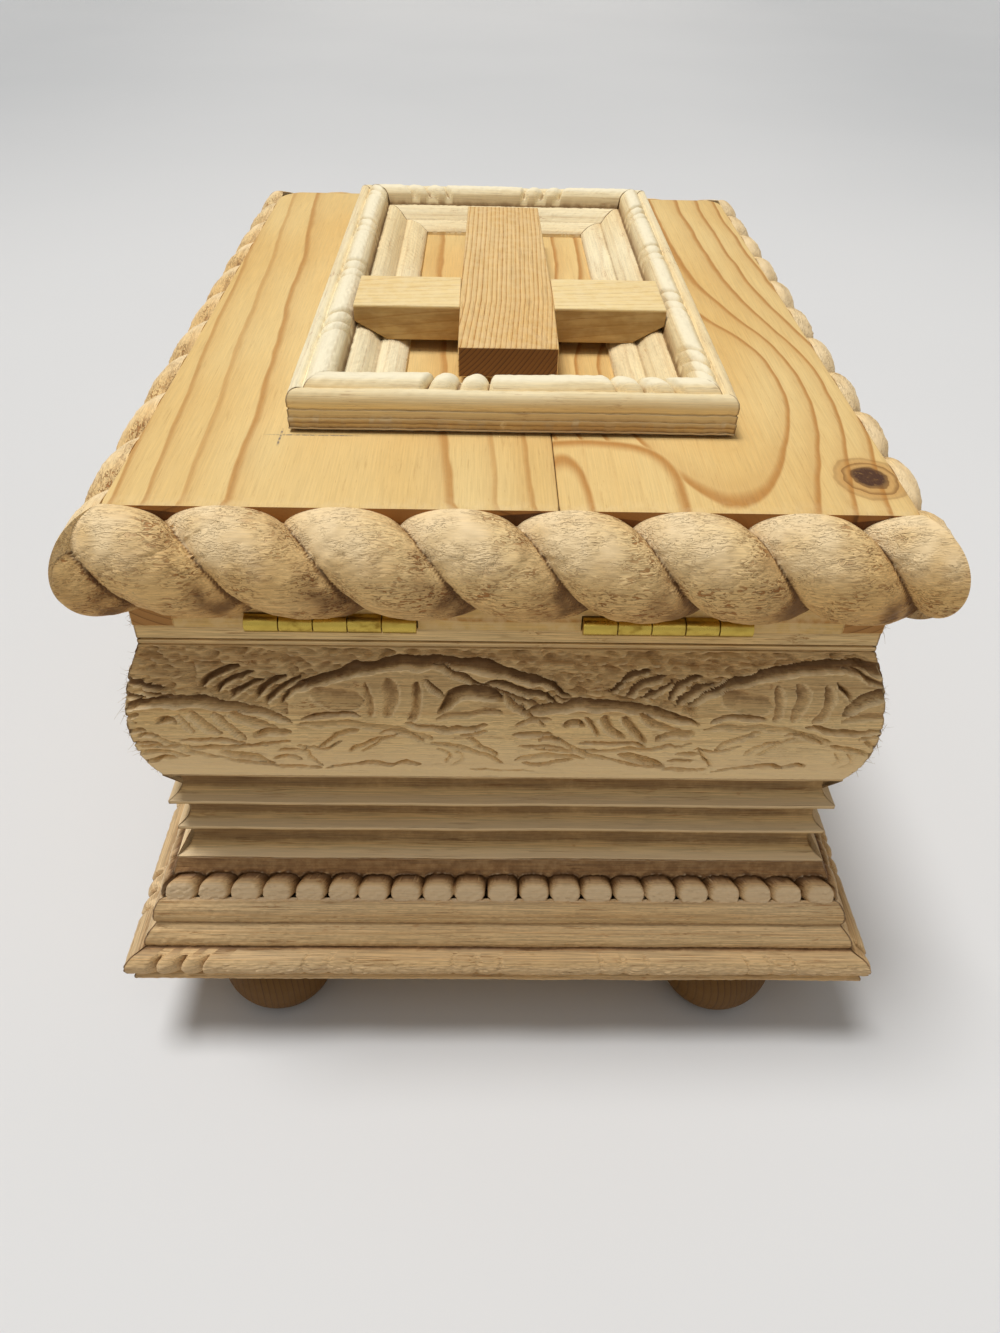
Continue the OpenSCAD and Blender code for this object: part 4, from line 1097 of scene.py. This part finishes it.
# Where a bead stands on each side of the base and of the frame, and from where on the near
# base moulding's beads are worn down
BASE_STARTS = (18.7, 8.0, -12.0, 14.0)
FRAME_STARTS = (11.4, -9.3, 9.0, -20.0)
BASE_WORN_FROM = -112.0
# The outer edge of the section, from the back up: across from the edge, height and painted shade, which lines
# the steps and darkens the rebate.
# The first two points are set in by the rebate.
EDGE = np.array([
    (0.0, 0.0, 1), (0.0, 1.15, 1), (0.0, 1.3, 0.7), (0.0, 1.7, 0.5), (0.14, 1.8, 0.8), (0.14, 3.2, 0.45),
    (0.02, 3.3, 0.8), (0.02, 4.9, 0.4), (0.16, 5.0, 0.7), (0.16, 6.3, 0.35), (0.05, 7.4, 0.3),
    (0.4, 7.6, 0.5), (0.4, 8.0, 0.4), (0.1, 8.3, 0.2), (0.0, 10.2, 0), (0.25, 11.7, 0), (0.9, 12.8, 0),
    (1.9, 13.35, 0), (3.0, 13.35, 0), (3.9, 12.9, 0.1)])
# The face of the section, ledge, ogee and slope: across from the edge and height
FACE = np.array([
    (4.3, 12.4), (4.9, 11.7), (5.3, 11.4), (13.2, 11.0), (13.9, 9.0), (14.3, 7.7), (15.2, 8.2), (16.6, 8.35),
    (18.4, 7.85), (20.4, 6.5), (21.8, 4.9), (22.9, 3.7), (23.6, 3.7), (24.5, 4.15), (26.0, 4.35), (27.6, 4.2),
    (29.8, 3.6), (31.4, 2.7), (33.0, 1.5)])


def bead_radius(x, start, sizes):
    """Radius of the bead row along its length: a long reel with rounded ends, then two
    balls, joined by a thin neck."""
    radius, pitch, reel = sizes
    period = reel + 2 * pitch
    u = np.mod(x - start + reel / 2, period)
    ends = np.clip(np.abs(u - reel / 2) - (reel / 2 - 0.42 * radius), 0, None) / (0.42 * radius)
    body = radius * np.sqrt(np.clip(1 - 0.75 * ends ** 2, 0, 1)) * (u < reel)
    balls = np.zeros_like(u)
    for k in (0.5, 1.5):
        ball = np.clip(1 - (np.abs(u - reel - k * pitch) / (radius * 1.04)) ** 2.2, 0, 1)
        balls = np.maximum(balls, radius * np.sqrt(ball))
    return np.maximum(np.maximum(body, balls), 0.9)


def bead_section(x, start, sizes, seed, wear, foot):
    """Section of the bead moulding for each place along it: across from the outer edge, height above the
    back, and painted shade. The bead row is a turned rod lying in the ledge, as an ellipse a little wider
    than high; `wear` flattens its beads towards a plain rod and `foot` is the width of the rebate at the
    outer edge."""
    edge = EDGE.copy()
    edge[:2, 0] = foot
    across = np.linspace(FACE[0, 0], FACE[-1, 0], 86)
    base = np.interp(across, FACE[:, 0], FACE[:, 1])
    r = bead_radius(x, start, sizes)
    r = r + (sizes[0] * 0.92 - r) * wear
    inside = 1 - ((across - BEAD_MID) / (r + 0.6)) ** 2
    rod = np.where(inside > 0, BEAD_RISE + 1.05 * r * np.sqrt(np.clip(inside, 0, None)), -9.0)
    height = np.maximum(base, rod)
    # Painted shade in the groove beside the rod, between the beads, in the quirks and in bands on the slope
    # and at the lower edge
    groove = np.exp(-((np.abs(across - BEAD_MID) - sizes[0] - 0.75) / 0.35) ** 2)
    gap = (np.abs(across - BEAD_MID) < sizes[0]) * smooth(sizes[0] * 0.72, sizes[0] * 0.2, r)
    quirk = np.exp(-((across - 14.3) / 0.3) ** 2) + 0.8 * np.exp(-((across - 23.2) / 0.5) ** 2)
    bands = smooth(31.0, 33.0, across) + 0.55 * np.exp(-((across - 23.0) / 1.3) ** 2)
    bands = bands + 0.4 * smooth(16.6, 14.2, across) * (across > 13.5)
    hollow = np.clip(0.3 * groove + 0.75 * gap + 0.5 * quirk + 0.5 * bands, 0, 1)
    count, fixed = len(x), len(edge)
    edge = np.broadcast_to(edge, (count, *edge.shape))
    zero = np.zeros((count, 1))
    a = np.concatenate([edge[:, :, 0], np.broadcast_to(across, height.shape), zero + across[-1]], 1)
    h = np.concatenate([edge[:, :, 1], height, zero], 1)
    w = np.concatenate([edge[:, :, 2], hollow, zero], 1)
    # Painted highlight, with some wear, on the crest of the rod outside the gaps between beads
    worn = np.zeros(w.shape)
    worn[:, fixed:-1] = smooth(0.55, 0.95, inside) * (1 - gap)
    rough = 0.06 * ripple(x, a * 1.5, 3.2, seed) + 0.10 * ripple(x, a * 0.5, 40.0, seed + 1)
    torn = 0.10 * ripple(0.5 * x, a * 2.0, 1.8, seed + 2) * smooth(4, 6, a) * smooth(13.5, 12, a)
    return a, h + (rough + torn * (0.4 + wear)) * smooth(0.5, 2.0, h), w, worn


def bead_points(x_half, y_half, side, start, sizes, gap, upright, worn_from=None):
    """A mitred length of bead moulding: lying on its back on the lid, or standing round
    the base with its beads lowest. Right of `worn_from` the beads are worn down."""
    half, away = ring_sizes(side, x_half, y_half)
    reach = half + (15.0 if upright else 0.0)
    s = spread(int(2 * reach / BEAD_STEP), half)
    row_half = half + BEAD_RISE + sizes[0] if upright else half - BEAD_MID
    x = s * row_half
    wear = 0 * x if worn_from is None else 0.8 * smooth(worn_from, worn_from + 12, x)
    foot = 0.0 if upright else 2.0
    across, height, hollow, worn = bead_section(x, start, sizes, 71 + side + 10 * upright, wear, foot)
    hollow = np.maximum(hollow, end_dirt(s, half))
    worn = worn * (0.3 if upright else 1.0)
    if upright:
        out, z = height, BASE_BOTTOM + across
    else:
        out, z = -across, LID_Z + height
    points = np.stack([s * (half + out - gap), -(away + out), z], -1)
    return turned(points, side), hollow, worn


class PRAYERBOX_OT_beads(Operator):
    """Builds the bead and reel moulding of the base and of the frame on the lid"""
    bl_idname = "prayerbox.beads"
    bl_label = "Bead Mouldings"

    def execute(self, context):
        s = context.scene.box_sizes
        sizes = [v / MM for v in (s.bead_radius, s.bead_pitch, s.reel_length)]
        gap = s.mitre_gap / MM
        middle = np.array([FRAME_MID[0], FRAME_MID[1], 0.0])
        frame_x = (FRAME_HIGH[0] - FRAME_LOW[0]) / 2
        frame_y = (FRAME_HIGH[1] - FRAME_LOW[1]) / 2
        for side in range(4):
            base = moulding_pine("base " + SIDES[side], "base", side, BASE_BOTTOM, (-40.0, 70.0, 4.5, 3.0),
                                 (0.9, 0.14, 0.3), strength=0.3, pit_depth=0.06, streak=0.36)
            points, hollow, worn = bead_points(BASE_X, BASE_Y, side, BASE_STARTS[side], sizes, gap, True,
                                               BASE_WORN_FROM if side == 0 else None)
            piece = tube("base_beads_" + SIDES[side], points, hollow, 50, worn)
            dress(piece, base, "case", "base_pine", "base_moulding_" + SIDES[side])
            place = FRAME_SIDES[side]
            rail = moulding_pine("frame " + place, "frame", side, LID_Z, (30.0, -50.0, 3.5, 3.0),
                                 (0.8, 0.12, 0.3), strength=0.2, pit_depth=0.06, streak=0.14)
            points, hollow, worn = bead_points(frame_x, frame_y, side, FRAME_STARTS[side], sizes, gap, False)
            piece = tube("frame_beads_" + place, points + middle, hollow, 50, worn)
            dress(piece, rail, "lid", "frame_pine", "frame_rail_" + place)
        return {"FINISHED"}


# Boards

# Half the open seam, and the radii of the lid's far corners
SEAM_HALF = 0.05
LEFT_ROUND, RIGHT_ROUND = 14.0, 9.0


def board_points(x0, x1, left_round, right_round):
    """A lid board as a rounded rectangle carried along Y. Its far corners are quarter
    circles of the given radii, where the edge is the radius less the height of the arc."""
    soft = 0.7
    largest = max(left_round, right_round)
    y = np.concatenate([np.linspace(-LID_Y, LID_Y - largest, 90),
                        LID_Y - largest + largest * np.sin(np.linspace(0.06, np.pi / 2, 20))])
    left, right = (r - np.sqrt(np.clip(r ** 2 - np.clip(y - (LID_Y - r), 0, r) ** 2, 0, None))
                   for r in (left_round, right_round))
    left, right = x0 + left, x1 - right
    turn = np.linspace(0, np.pi / 2, 4)
    loop = []
    for cx, cz, a0 in ((1, 1, 0.0), (0, 1, np.pi / 2), (0, 0, np.pi), (1, 0, 1.5 * np.pi)):
        for t in turn + a0:
            loop.append((cx, cz, math.cos(t), math.sin(t)))
    loop = np.array(loop)
    width = (right - left)[:, None]
    x = left[:, None] + loop[:, 0] * width - (2 * loop[:, 0] - 1) * soft + soft * loop[:, 2]
    z = BOARD_Z + loop[:, 1] * (LID_Z - BOARD_Z) - (2 * loop[:, 1] - 1) * soft + soft * loop[:, 3]
    z = np.broadcast_to(z, x.shape)
    edge = smooth(0, 1.0, LID_Y - np.abs(y))[:, None]
    z = z - 0.35 * (1 - edge) * (loop[:, 1] - 0.5) * 2
    # Painted shade on the board's sides just below its top, less near its underside
    under = smooth(BOARD_Z + 0.3, BOARD_Z + 0.1, z)
    hollow = np.broadcast_to(0.97 * smooth(LID_Z - 0.2, LID_Z - 0.66, z) * (1 - 0.9 * under), x.shape)
    return np.stack([x, np.broadcast_to(y[:, None], x.shape), z], -1), hollow


class PRAYERBOX_OT_boards(Operator):
    """Builds the two boards of the lid and finishes the rims, walls and bottom"""
    bl_idname = "prayerbox.boards"
    bl_label = "Boards"

    def execute(self, context):
        soft = context.scene.box_sizes.soft_edge
        top = (0, 0, LID_Z)
        # The boards' sawn ends are darkened strongly: partly end grain, partly painted shade between the
        # rope's strands
        finish = {"strength": 0.9, "end": 0.9, "streak": 0.10, "grime": 1.0}
        rings = rings_of(-55.5, -120.0, 3.85, 2.4, Lean_X=-0.047, Phase=0.72, Clear=123.5)
        left = pine("left board", "board", "Y", top, extra=pen_marks, rings=rings, **finish)
        right = pine("right board", "board", "Y", top, extra=knot_marks, lines=cathedral,
                     rings={"Ring": 3.2, "Wobble": 2.0}, **finish)
        points, hollow = board_points(-LID_X, SEAM_X - SEAM_HALF, LEFT_ROUND, 0.0)
        piece = tube("board_left", points, hollow, 45, backed=False)
        dress(piece, left, "lid", "plank_left", "lid_plank_left")
        points, hollow = board_points(SEAM_X + SEAM_HALF, LID_X, 0.0, RIGHT_ROUND)
        piece = tube("board_right", points, hollow, 45, backed=False)
        dress(piece, right, "lid", "plank_right", "lid_plank_right")
        for name, along, pith in (("hinge_rim", "X", -50.0), ("far_rim", "X", 40.0),
                                  ("left_rim", "Y", -90.0), ("right_rim", "Y", 90.0)):
            wood = pine(name, "board", along, (0, 0, JOINT_Z), strength=0.75, end=0.72,
                        rings=rings_of(pith, 40.0, 2.6, 2.0))
            softened(name, soft, "lid", "rim_pine", wood)
        for name, along, pith in (("hinge_wall", "X", -60.0), ("far_wall", "X", 60.0),
                                  ("left_wall", "Y", -150.0), ("right_wall", "Y", 150.0)):
            wood = pine(name, "board", along, (0, 0, JOINT_Z), strength=0.6, end=0.5,
                        rings=rings_of(pith, -70.0, 5.0, 5.0))
            softened(name, soft, "case", "wall_pine", wood)
        wood = pine("bottom", "board", "Y", (0, 0, BASE_BOTTOM), strength=0.6, end=0.5,
                    rings=rings_of(20.0, -60.0, 6.0, 6.0))
        softened("bottom_board", soft, "case", "board_pine", wood)
        return {"FINISHED"}


# Tint of the upright's end grain, and how far its near end is planed down
SOOTY = (0.42, 0.36, 0.34)
UPRIGHT_DROP = 2.2


class PRAYERBOX_OT_cross(Operator):
    """Finishes the half-lapped cross in the frame"""
    bl_idname = "prayerbox.cross"
    bl_label = "Cross"

    def execute(self, context):
        soft = context.scene.box_sizes.soft_edge
        upright = pine("upright", "cross", "Y", (0, 0, LID_Z), strength=1.0, end=1.15, streak=0.16,
                       rings=rings_of(-64.0, 62.0, 1.4, 1.2, Lean_X=0.02), end_tone=SOOTY, lines=bold)
        bar = pine("crossbar", "bar", "X", (0, -35.0, LID_Z), strength=0.4, end=0.7, streak=0.12,
                   extra=painted_side_shade, rings=rings_of(30.0, 60.0, 2.4, 3.0, Lean_Z=0.1))
        planed(softened("cross_upright", soft, "lid", "cross_upright", upright),
               corner("cross_bar", False)[1] - 0.5, UPRIGHT_DROP)
        softened("cross_bar", soft, "lid", "cross_bar", bar)
        return {"FINISHED"}


# Feet

# Height of the middle of a foot's ball
BALL_CENTRE_Z = 18.0


def ball_points(node):
    """A turned ball foot: a circle carried up the axis, its radius that of a ball with
    faint turning rings, cut flat below and above."""
    low, high = corner(node, False), corner(node, True)
    middle = (low + high) / 2
    radius = (high[0] - low[0]) / 2
    start = -math.asin(BALL_CENTRE_Z / radius)
    stop = math.asin((high[2] - BALL_CENTRE_Z) / radius)
    angle = start + (stop - start) * np.linspace(0, 1, 64)
    z = BALL_CENTRE_Z + radius * np.sin(angle)
    r = radius * np.cos(angle)
    r = r + 0.03 * np.sin(z * 5.2) + 0.02 * np.sin(z * 11.0 + 1.0)
    around = np.linspace(0, 2 * np.pi, 96, endpoint=False)
    x = middle[0] + r[:, None] * np.cos(around)
    y = middle[1] + r[:, None] * np.sin(around)
    return np.stack([x, y, np.broadcast_to(z[:, None], x.shape)], -1)


def stained(name, middle):
    """Turned wood under brown stain: rings round the axis, darker pores, a worn sheen."""
    tint = tuple(bpy.context.scene.box_colours.foot)
    material, net, shader = blank(name)
    place, facing, _ = piece_space(net, "Z", middle)
    grain = group(net, "grain", Vector=place, Pith_X=75.0, Pith_Z=8.0, Ring=2.2, Wobble=2.0)
    dark = shaded(tint, (0.42,) * 3)
    pale = tuple(min(1.0, v * 1.3) for v in tint)
    colour = net.blend(net.remap(grain["Cloud"], 0.3, 0.7), tint, pale)
    colour = net.blend(net.math("MULTIPLY", grain["Late"], 0.7), colour, dark)
    colour = net.blend(net.math("MULTIPLY", grain["Fleck"], 0.6), colour, dark)
    net.put(shader.inputs["Base Color"], colour)
    net.put(shader.inputs["Roughness"], net.remap(grain["Fibre"], 0.2, 0.8, 0.5, 0.7))
    shader.inputs["Specular IOR Level"].default_value = 0.25
    bump = net.add("ShaderNodeBump", None, Height=grain["Fibre"], Strength=0.5, Distance=0.0001)
    net.put(shader.inputs["Normal"], bump.outputs[0])
    return material


class PRAYERBOX_OT_feet(Operator):
    """Builds the four turned ball feet and finishes their dowels"""
    bl_idname = "prayerbox.feet"
    bl_label = "Feet"

    def execute(self, context):
        for place in ("near_left", "near_right", "far_left", "far_right"):
            node = "foot_" + place
            middle = (corner(node, False) + corner(node, True)) / 2
            piece = tube("ball_" + place, ball_points(node), None, 40, backed=False)
            dress(piece, stained("foot " + place, middle), "case", "turned_foot", node)
        paint("foot_dowels", pine("dowel", "board", "Z", (0, 0, 0), strength=0.3))
        return {"FINISHED"}


# Width of the rounded edge of a brass leaf
LEAF_EDGE = 0.14


class PRAYERBOX_OT_hinges(Operator):
    """Finishes the two brass hinges with their pins and screws"""
    bl_idname = "prayerbox.hinges"
    bl_label = "Hinges"

    def execute(self, context):
        leaf = brass("brass leaf", 0.35)
        dull = brass("brass leaf dull", 1.0)
        rod = brass("brass pin", 0.8)
        for side in ("left", "right"):
            softened("case_leaf_" + side, LEAF_EDGE * MM, "case", "brass_leaf", leaf)
            softened("lid_leaf_" + side, LEAF_EDGE * MM, "lid", "brass_leaf", dull)
            paint("hinge_pin_" + side, rod)
        screw = brass("brass screw", 0.7)
        paint("case_screws", screw)
        paint("lid_screws", screw)
        return {"FINISHED"}


# Frayed fibres

# Fibres at each corner of the carved moulding and of the rope, and their two colours
CASE_FIBRES, LID_FIBRES = 70, 8
FIBRE_DARK, FIBRE_PALE = "8d7c64", "c9b48c"


def fibre_points(roots, seed):
    """Thin curled fibres: each is a three-sided tube round a curve that leaves its root
    outwards and bends by a seeded amount."""
    rng = np.random.default_rng(seed)
    verts, faces = [], []
    t = np.linspace(0, 1, 9)[:, None]
    ring = np.linspace(0, 2 * np.pi, 3, endpoint=False)
    for root, way in roots:
        way = np.array(way) / np.linalg.norm(way)
        bend = rng.normal(0, 1, 3)
        long = rng.uniform(0.6, 2.6)
        line = root + way * long * t + bend * 0.45 * long * t ** 2
        line = line + rng.normal(0, 1, 3) * 0.2 * long * t ** 3
        aside = np.cross(way, (0.3, 0.2, 0.9))
        aside /= np.linalg.norm(aside)
        other = np.cross(way, aside)
        thick = rng.uniform(0.05, 0.12) * (1.0 - 0.7 * t)
        circle = np.cos(ring)[:, None] * aside + np.sin(ring)[:, None] * other
        v, f = shell(line[:, None] + thick[:, :, None] * circle)
        base = sum(len(p) for p in verts)
        verts.append(v)
        faces += [part + base for part in f]
    return np.concatenate(verts), faces


class PRAYERBOX_OT_fibres(Operator):
    """Adds the frayed fibres at the mitres of the carved moulding and of the rope"""
    bl_idname = "prayerbox.fibres"
    bl_label = "Frayed Fibres"

    def execute(self, context):
        rng = np.random.default_rng(91)
        height = JOINT_Z - COVE_TOP
        grey, net, shader = blank("grey fibres", Roughness=0.8)
        place, _, _ = piece_space(net, "Z", (0, 0, 0))
        shade = net.remap(net.noise(net.scaled(place, 0.5, 0.5, 0.5)), 0.3, 0.7)
        net.put(shader.inputs["Base Color"], net.blend(shade, tone(FIBRE_DARK), tone(FIBRE_PALE)))
        case, lid = [], []
        for sx in (-1, 1):
            for sy in (-1, 1):
                for _ in range(CASE_FIBRES):
                    v = rng.uniform(1, height - 8)
                    reach = belly(v, height) - 0.4
                    root = np.array([sx * (WALL_X + reach), sy * (WALL_Y + reach), COVE_TOP + v])
                    way = (sx * rng.uniform(0.1, 1), sy * rng.uniform(0.1, 1), rng.normal(0, 0.6))
                    case.append((root, way))
                for _ in range(LID_FIBRES):
                    z = rng.uniform(JOINT_Z + 1, BOARD_Z - 24)
                    root = np.array([sx * (LID_X - 0.3), sy * (LID_Y - 0.3), z])
                    way = (sx * rng.uniform(0.1, 1), sy * rng.uniform(0.1, 1), rng.normal(0, 0.5))
                    lid.append((root, way))
        for name, body, slot, roots in (("case_fibres", "case", "carved_pine", case),
                                        ("lid_fibres", "lid", "rope_pine", lid)):
            verts, faces = fibre_points(roots, 95)
            dress(put_mesh(name, verts, faces), grey, body, slot)
        return {"FINISHED"}


# Floor, lamps and camera

# The paper: half its width, where it starts, where it bends up, the bend's radius and its top
PAPER_HALF = 5000
PAPER_NEAR = -3000
PAPER_BEND = 3200
PAPER_RADIUS = 1200
PAPER_TOP = 4000
# Tints of the paper far off, as painted shade, and of the light that it throws back
PAPER_FAR_SHADE = (0.68, 0.695, 0.71)
PAPER_DIM = (0.88, 0.78, 0.63)
# Each lamp's name, the way to it, its spread in degrees and its strength
LAMPS = (("window_light", (-0.22, 0.03, 0.97), 20.0, 2.5), ("room_light", (0.10, -0.45, 0.88), 40.0, 0.24))
# The room as light on the box and as seen, and its strength as light and what is added to that
# where it is seen
ROOM_LIGHT, ROOM_SEEN = (1.0, 0.96, 0.90), (0.98, 0.99, 1.0)
ROOM_STRENGTH, ROOM_ADDED = 0.22, 0.40
# The photograph's viewpoint: yaw, pitch and roll in degrees, its place with its height above
# the lid, and the lens
VIEW_TURN = (1.606, 39.394, -1.617)
VIEW_X, VIEW_Y, VIEW_ABOVE_LID = -9.47, -397.7, 140.7
LENS, SENSOR = 27.0, 36.0


def floor_points():
    """A sheet of paper: flat under the box, rising in a quarter circle far behind it."""
    flat = np.linspace(PAPER_NEAR, PAPER_BEND, 40)
    curve = np.linspace(0, np.pi / 2, 16)[1:]
    y = np.concatenate([flat, PAPER_BEND + PAPER_RADIUS * np.sin(curve), [PAPER_BEND + PAPER_RADIUS]])
    z = np.concatenate([np.zeros(40), PAPER_RADIUS - PAPER_RADIUS * np.cos(curve), [PAPER_TOP]])
    x = np.linspace(-PAPER_HALF, PAPER_HALF, 3)
    return np.stack([np.broadcast_to(x[:, None], (3, len(y))), np.broadcast_to(y, (3, len(y))),
                     np.broadcast_to(z, (3, len(y)))], -1)


def seen_directly(net):
    """A mask of 1 where the camera looks, also in a mirror or through glass, and of 0 in the
    light that surfaces throw on each other."""
    seen = net.add("ShaderNodeLightPath").outputs
    through = net.math("MAXIMUM", seen["Is Glossy Ray"], seen["Is Transmission Ray"])
    return net.math("MAXIMUM", seen["Is Camera Ray"], through)


class PRAYERBOX_OT_stage(Operator):
    """Sets the paper floor, the soft lamps and the camera"""
    bl_idname = "prayerbox.stage"
    bl_label = "Stage"

    def execute(self, context):
        scene = context.scene
        points = floor_points()
        n, m, _ = points.shape
        i, j = np.meshgrid(np.arange(n - 1), np.arange(m - 1), indexing="ij")
        quads = np.stack([i * m + j, (i + 1) * m + j, (i + 1) * m + j + 1, i * m + j + 1], -1)
        floor = put_mesh("paper_floor", points.reshape(-1, 3), [quads.reshape(-1, 4)])
        paper, net, shader = blank("paper", Roughness=0.75)
        place, _, _ = piece_space(net, "Y", (0, 0, 0))
        mottle = net.noise(net.scaled(place, 0.002, 0.002, 0.002), 1.0, 2.0)
        x, y, _ = net.apart(place)[:3]
        tint = tuple(scene.box_colours.floor)
        # Painted shade on the paper: darker and cooler far behind the box and off to its sides
        far = net.remap(y, 300.0, 1900.0)
        aside = net.math("MULTIPLY", net.remap(net.math("ABSOLUTE", x), 250.0, 1100.0),
                         net.remap(y, -100.0, 500.0))
        shade = net.math("ADD", net.math("MULTIPLY", far, 0.52), net.math("MULTIPLY", aside, 0.42))
        shade = net.math("ADD", shade, net.remap(mottle, 0.3, 0.7, 0.0, 0.06))
        looked_at = net.blend(shade, tint, shaded(tint, PAPER_FAR_SHADE))
        net.put(shader.inputs["Base Color"],
                net.blend(seen_directly(net), shaded(tint, PAPER_DIM), looked_at))
        floor.data.materials.append(paper)
        for name, toward, spread_deg, power in LAMPS:
            light = bpy.data.lights.new(name, "SUN")
            light.angle = math.radians(spread_deg)
            light.energy = power
            lamp = bpy.data.objects.new(name, light)
            lamp.rotation_euler = Vector(toward).to_track_quat("Z", "Y").to_euler()
            scene.collection.objects.link(lamp)
        world = bpy.data.worlds.new("soft room")
        world.use_nodes = True
        sky = world.node_tree.nodes["Background"]
        net = Net(world.node_tree)
        direct = seen_directly(net)
        net.put(sky.inputs["Color"], net.blend(direct, ROOM_LIGHT, ROOM_SEEN))
        net.put(sky.inputs["Strength"],
                net.math("ADD", ROOM_STRENGTH, net.math("MULTIPLY", direct, ROOM_ADDED)))
        scene.world = world
        scene.view_settings.view_transform = "Standard"
        self.place_camera(scene)
        return {"FINISHED"}

    @staticmethod
    def place_camera(scene):
        """The photograph's viewpoint: turned by yaw, tipped down by pitch, then rolled."""
        yaw, pitch, roll = (math.radians(v) for v in VIEW_TURN)
        level = math.cos(pitch)
        ahead = np.array([math.sin(yaw) * level, math.cos(yaw) * level, -math.sin(pitch)])
        right = np.array([math.cos(yaw), -math.sin(yaw), 0.0])
        down = np.cross(ahead, right)
        right, down = (math.cos(roll) * right + math.sin(roll) * down,
                       math.cos(roll) * down - math.sin(roll) * right)
        lens = bpy.data.cameras.new("viewpoint")
        lens.lens = LENS
        lens.sensor_width = SENSOR
        lens.clip_start = 0.02
        lens.clip_end = 50.0
        camera = bpy.data.objects.new("viewpoint", lens)
        spot_mm = np.array([VIEW_X, VIEW_Y, LID_Z + VIEW_ABOVE_LID])
        turn = Matrix(np.stack([right, -down, -ahead], 1).tolist()).to_4x4()
        camera.matrix_world = Matrix.Translation(Vector(spot_mm * MM)) @ turn
        scene.collection.objects.link(camera)
        scene.camera = camera


# Panel and running order

STEPS = (PRAYERBOX_OT_stage, PRAYERBOX_OT_boards, PRAYERBOX_OT_rope, PRAYERBOX_OT_carved, PRAYERBOX_OT_coves,
         PRAYERBOX_OT_lobes, PRAYERBOX_OT_beads, PRAYERBOX_OT_cross, PRAYERBOX_OT_feet, PRAYERBOX_OT_hinges,
         PRAYERBOX_OT_fibres)


class PRAYERBOX_PT_panel(Panel):
    """Lists the box's steps, sizes and colours"""
    bl_label = "Prayer Box"
    bl_idname = "PRAYERBOX_PT_panel"
    bl_space_type = "VIEW_3D"
    bl_region_type = "UI"
    bl_category = "Prayer Box"

    def draw(self, context):
        for step in STEPS:
            self.layout.operator(step.bl_idname)
        for group_name in ("box_sizes", "box_colours"):
            values = getattr(context.scene, group_name)
            box = self.layout.box()
            for key in values.bl_rna.properties.keys():
                if key not in ("rna_type", "name"):
                    box.prop(values, key)


CLASSES = (BoxSizes, BoxColours, *STEPS, PRAYERBOX_PT_panel)


def register():
    for cls in CLASSES:
        bpy.utils.register_class(cls)
    bpy.types.Scene.box_sizes = PointerProperty(type=BoxSizes)
    bpy.types.Scene.box_colours = PointerProperty(type=BoxColours)


def unregister():
    del bpy.types.Scene.box_colours
    del bpy.types.Scene.box_sizes
    for cls in reversed(CLASSES):
        bpy.utils.unregister_class(cls)


def main():
    register()
    for step in STEPS:
        family, name = step.bl_idname.split(".")
        getattr(getattr(bpy.ops, family), name)()


if __name__ == "__main__":
    main()
